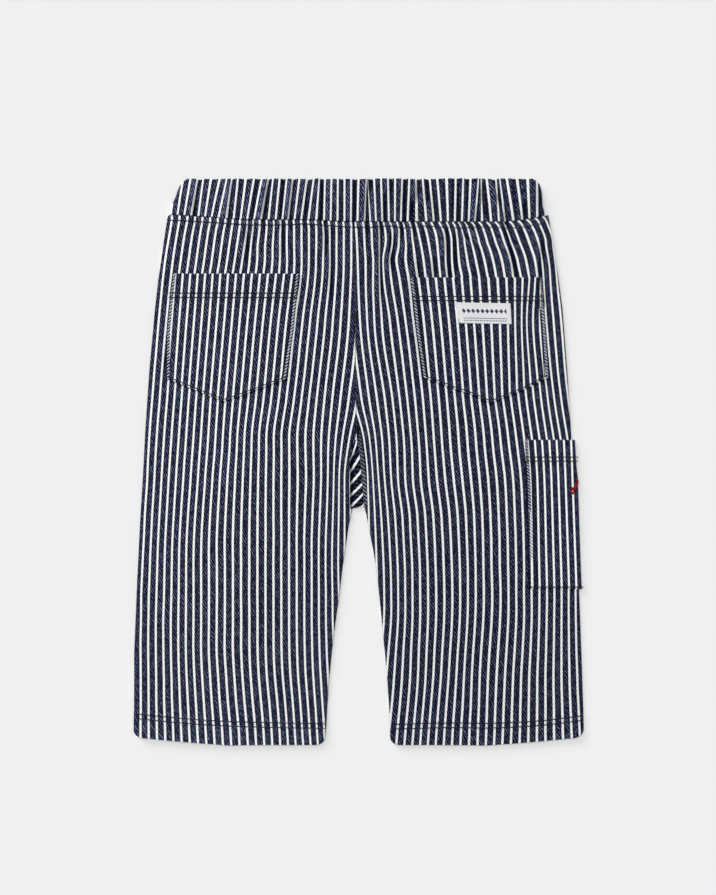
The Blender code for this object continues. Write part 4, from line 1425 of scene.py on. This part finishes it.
def sewn(name, runs, finish, **sizes):
    # a piece of thread: runs are paths of points in metres, sizes are the tree's inputs
    path = bpy.data.curves.new(name + "Path", "CURVE")
    path.dimensions = "3D"
    for run in runs:
        spline = path.splines.new("POLY")
        spline.points.add(len(run) - 1)
        spline.points.foreach_set("co", np.c_[run, np.ones(len(run))].ravel())
    guide = bpy.data.objects.new(name + "Path", path)
    bpy.context.scene.collection.objects.link(guide)
    modifier = guide.modifiers.new("stitches", "NODES")
    modifier.node_group = stitches
    named = {item.name: item.identifier for item in stitches.interface.items_tree
             if item.in_out == "INPUT"}
    for key, value in sizes.items():
        modifier[named[key.capitalize()]] = value
    modifier[named["Finish"]] = finishes[finish]
    bpy.context.view_layer.update()
    made = guide.evaluated_get(bpy.context.evaluated_depsgraph_get())
    mesh = bpy.data.meshes.new_from_object(made)
    guide.modifiers.remove(modifier)
    bpy.data.objects.remove(guide)
    bpy.data.curves.remove(path)
    mesh.name = name
    piece = bpy.data.objects.new(name, mesh)
    bpy.context.scene.collection.objects.link(piece)
    return piece


threadSink = 0.42      # how far a thread's middle stands above the bottom of its groove


def onBack(x, down):
    return backHeight(x, down) + threadSink


def underFront(x, down):  # clear of the floor
    return np.maximum(frontHeight(x, down) - 0.05, 0.26)


def runAcross(surface, low, high, level, step=1.0):  # a path on the cloth from x to x
    x = np.arange(low, high, step)
    down = level(x)
    return toMetres(x, down, surface(x, down))


def finished(piece, finish, nodes=()):
    for each in finish:
        piece.data.materials.append(finishes[each])
    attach(piece, "root")
    if nodes:
        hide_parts(*nodes)
    return piece


leftMap = stripeMap(leftStripes, backCreases, 20.0, 394.0)
rightMap = stripeMap(rightStripes, backCreases, 20.0, 394.0)
backLeft = finished(backPanel("backLeft", "left", leftMap), ["twill"],
                    ["back_left"])
backRight = finished(backPanel("backRight", "right", rightMap), ["twill", "rope"],
                     ["back_right"])
print("back ready")
frontLeft = finished(frontPanel("frontLeft", "left", leftMap), ["twill"],
                     ["front_left"])
frontRight = finished(frontPanel("frontRight", "right", rightMap), ["twill"],
                      ["front_right"])
print("front ready")
bandMap = stripeMap(bandStripes, bandCreases(backGathers), -4.0, 34.0)
frontBandMap = stripeMap(bandStripes, bandCreases(frontGathers), -4.0, 34.0)
waistBack = finished(bandPiece("waistBack", "back", backGathers, bandMap), ["twill"],
                     ["waistband_back"])
waistFront = finished(bandPiece("waistFront", "front", frontGathers, frontBandMap), ["twill"],
                      ["waistband_front"])
print("waistband ready")
leftPocketMap = stripeMap(leftPocketStripes, [], 60.0, 160.0)
rightPocketMap = stripeMap(rightPocketStripes, [], 60.0, 160.0)
backPocketLeft = finished(patchPocket("backPocketLeft", leftPocket, leftPocketMap),
                          ["twill", "ropeLeft"], ["pocket_back_left"])
backPocketRight = finished(patchPocket("backPocketRight", rightPocket, rightPocketMap),
                           ["twill", "rope"], ["pocket_back_right"])
sidePocketMap = stripeMap(sidePocketStripes, [], 174.0, 290.0)
legPocket = finished(wrappedPocket("legPocket", sidePocketMap), ["litWhenRaised", "rope", "strokes"],
                     ["pocket_side_back", "pocket_side_front"])
wovenTag = finished(wovenLabel("wovenTag"), ["label"], ["label"])
print("pockets ready")


def waistRuns():
    return [runAcross(onBack, -128.2, 127.6, lambda x: fromTable(waistStitch, "down", x, "x"), 0.6)]


def frontWaistRuns():
    return [runAcross(underFront, -127.4, 127.0, lambda x: seamLevel(x) + 3.6, 0.8)]


def hemRuns(side, surface, step):
    low, high = (sideEdge("left", 372) + 2.6, -24.6) if side == "left" else (
        24.2, sideEdge("right", 372) - 2.6)
    return [runAcross(surface, low, high, lambda x, k=k: rowLevel(
        x, np.full(np.shape(x), body["length"])) - hemStitchLine(x, k), step) for k in (0, 1)]


def slitRuns():  # worked edges of the two slits in the front of the waistband
    slit = waistband["slit"]
    turn = np.linspace(0, 2 * math.pi, 80)
    across, along = (np.sign(wave) * np.abs(wave) ** 0.4 for wave in (np.cos(turn), np.sin(turn)))
    halves = (slit["width"] / 2 + 0.5, (slit["foot"] - slit["top"]) / 2 + 0.5)
    middleDown = (slit["foot"] + slit["top"]) / 2
    return [toMetres(centre + halves[0] * across, middleDown + halves[1] * along, 0.2)
            for centre in (-slit["x"], slit["x"])]


def pocketRuns(shape):
    top, inset = shape["down"][0], pocketCloth["inset"]

    def onPocket(x, down):
        return pocketHeight(shape, x, down) + threadSink

    runs = []
    for level in (top + line for line in shape["stitches"]):
        low, high = edgesOf(shape, level)
        x = np.arange(low + 1, high - 1, 1.0)
        runs.append(toMetres(x, level, onPocket(x, level)))
    for side, sign, seamAt in zip(("left", "right"), (1, -1), shape["seamsAt"]):
        down = np.arange(top + 3, shape["down"][-1] - 1, 1.0)
        x = np.interp(down, shape["down"], shape[side]) + sign * seamAt
        runs.append(toMetres(x, down, onPocket(x, down)))
    x = np.arange(shape["footX"][0] + inset, shape["footX"][-1] - inset, 1.0)
    down = np.interp(x, shape["footX"], shape["footDown"]) - inset / footSlant
    return runs + [toMetres(x, down, onPocket(x, down))]


def legPocketRuns():
    top, foot = sidePocket["down"][0], sidePocket["down"][-1]
    arc = math.pi * sidePocket["turn"]
    runs = []
    for level in (*(top + line for line in sidePocket["stitches"]), foot - sidePocket["footStitch"]):
        inner, outer = edgesOf(sidePocket, level)
        flat = outer - sidePocket["turn"] - inner
        for travel, up in ((np.arange(0.8, flat + arc * 0.3, 0.8), 1),
                           (np.arange(flat + arc, 2 * flat + arc - 0.8, 0.8), -1)):
            x, z, _ = sidePocketPath(np.full(len(travel), level), travel)
            runs.append(toMetres(x, level, z + (threadSink if up > 0 else -0.05)))
    level = np.arange(top + 2.5, foot - 1.5, 1.0)
    inner, outer = edgesOf(sidePocket, level)
    last = 2 * (outer - sidePocket["turn"] - inner) + arc
    for travel, up in ((np.full(len(level), sidePocket["seamAt"]), threadSink), (last - 1.3, -0.05)):
        x, z, _ = sidePocketPath(level, travel)
        runs.append(toMetres(x, level, z + up))
    return runs


navyThreads = (
    # name, runs, sizes
    ("waistThread", waistRuns(), {"seed": 3}),
    ("waistThreadFront", frontWaistRuns(), {"seed": 11}),
    ("slitThread", slitRuns(), {"pitch": 0.0008, "stitch": 0.0013, "seed": 12}),
    ("hemThreadLeft", hemRuns("left", onBack, 1.0), {"seed": 4}),
    ("hemThreadRight", hemRuns("right", onBack, 1.0), {"seed": 5}),
    ("hemThreadFrontLeft", hemRuns("left", underFront, 0.8), {"seed": 13}),
    ("hemThreadFrontRight", hemRuns("right", underFront, 0.8), {"seed": 14}),
    ("pocketThreadLeft", pocketRuns(leftPocket), {"seed": 6}),
    ("pocketThreadRight", pocketRuns(rightPocket), {"seed": 7}),
    ("legPocketThread", legPocketRuns(), {"seed": 8}),
)
threads = {name: finished(sewn(name, runs, "navyThread", **sizes), [])
           for name, runs, sizes in navyThreads}


def labelRuns():
    portion = np.linspace(0.03, 0.97, 40)
    runs = []
    for share in (0.034, 0.966):
        x, down, z = labelPoints(np.full(len(portion), share), portion)
        runs.append(toMetres(x, down, z + 0.05))
    return runs


labelThread = finished(sewn("labelThread", labelRuns(), "greyThread", pitch=0.0021, stitch=0.0019,
                            thread=0.0004, seed=9), [])

mark = {                 # a scribble of loops that climb along a slanting line
    "share": (0, 0.38, 0.66, 1),
    "x": (147.3, 147.5, 149.2, 150.7),
    "down": (215.3, 215.0, 211.6, 208.6),
    "size": (1.3, 1.4, 1.1, 1.0),
    "loops": 3.4,
}


def loopRuns():
    inner, _ = edgesOf(sidePocket, 211)
    share = np.linspace(0, 1, 120)
    turn = 2 * math.pi * mark["loops"] * share
    x, down, size = (np.interp(share, mark["share"], mark[key]) for key in ("x", "down", "size"))
    down = down + size * np.cos(turn)
    x, z, _ = sidePocketPath(down, x + 0.75 * size * np.sin(turn) - inner)
    return [toMetres(x, down, z + 0.3)]


redMark = finished(sewn("redMark", loopRuns(), "redThread", pitch=0.0007, stitch=0.0014,
                        thread=0.0014, seed=10), [])
print("thread ready")


threads.update(labelThread=labelThread, redMark=redMark)


stage = {
    "floorSize": 12.0,     # from its middle to its edges
    "floorLevel": -0.0001,
    "floorLow": (0.791, 0.791, 0.791, 1),
    "floorHigh": (0.799, 0.799, 0.799, 1),
    "roomLight": 0.215,
    "lamps": {             # strength, how wide it looks, tilt towards the waist and the left
        "overhead": (2.29, 42.0, -8.0, -8.0),
        "low": (1.35, 28.0, -46.0, -56.0),
    },
    "lens": 85.0,
    "sensor": 36.0,
    "centre": (-0.0003, 0.0100),
    "frameHeight": 0.6167,
}


def paleFloor():
    made, tree, shader = newMaterial("palePaper", 0.9, 0.0, 0.1)
    place = addNode(tree, "ShaderNodeTexCoord").outputs["Object"]
    tone = noiseAt(tree, place, 3.0)
    feed(tree, shader, Base_Color=blendColour(tree, tone, stage["floorLow"], stage["floorHigh"]))
    mesh = bpy.data.meshes.new("floor")
    half, level = stage["floorSize"], stage["floorLevel"]
    corners = [(x * half, y * half, level) for x, y in ((-1, -1), (1, -1), (1, 1), (-1, 1))]
    mesh.from_pydata(corners, [], [(0, 1, 2, 3)])
    mesh.materials.append(made)
    floor = bpy.data.objects.new("floor", mesh)
    bpy.context.scene.collection.objects.link(floor)


def setStage():
    paleFloor()
    scene = bpy.context.scene
    scene.view_settings.view_transform = "Standard"
    world = bpy.data.worlds.new("room")
    world.use_nodes = True
    background = world.node_tree.nodes["Background"]
    background.inputs[0].default_value = (1, 1, 1, 1)
    background.inputs[1].default_value = stage["roomLight"]
    scene.world = world
    for name, (strength, wide, back, left) in stage["lamps"].items():
        lamp = bpy.data.lights.new(name, "SUN")
        lamp.energy = strength
        lamp.angle = math.radians(wide)
        lampObject = bpy.data.objects.new(name, lamp)
        lampObject.rotation_euler = (math.radians(back), math.radians(left), 0)
        scene.collection.objects.link(lampObject)
    camera = bpy.data.cameras.new("camera")
    camera.lens, camera.sensor_width = stage["lens"], stage["sensor"]
    cameraObject = bpy.data.objects.new("camera", camera)
    height = stage["frameHeight"] * stage["lens"] / stage["sensor"] + body["back"] * mm
    cameraObject.location = (*stage["centre"], height)
    scene.collection.objects.link(cameraObject)
    scene.camera = cameraObject


setStage()
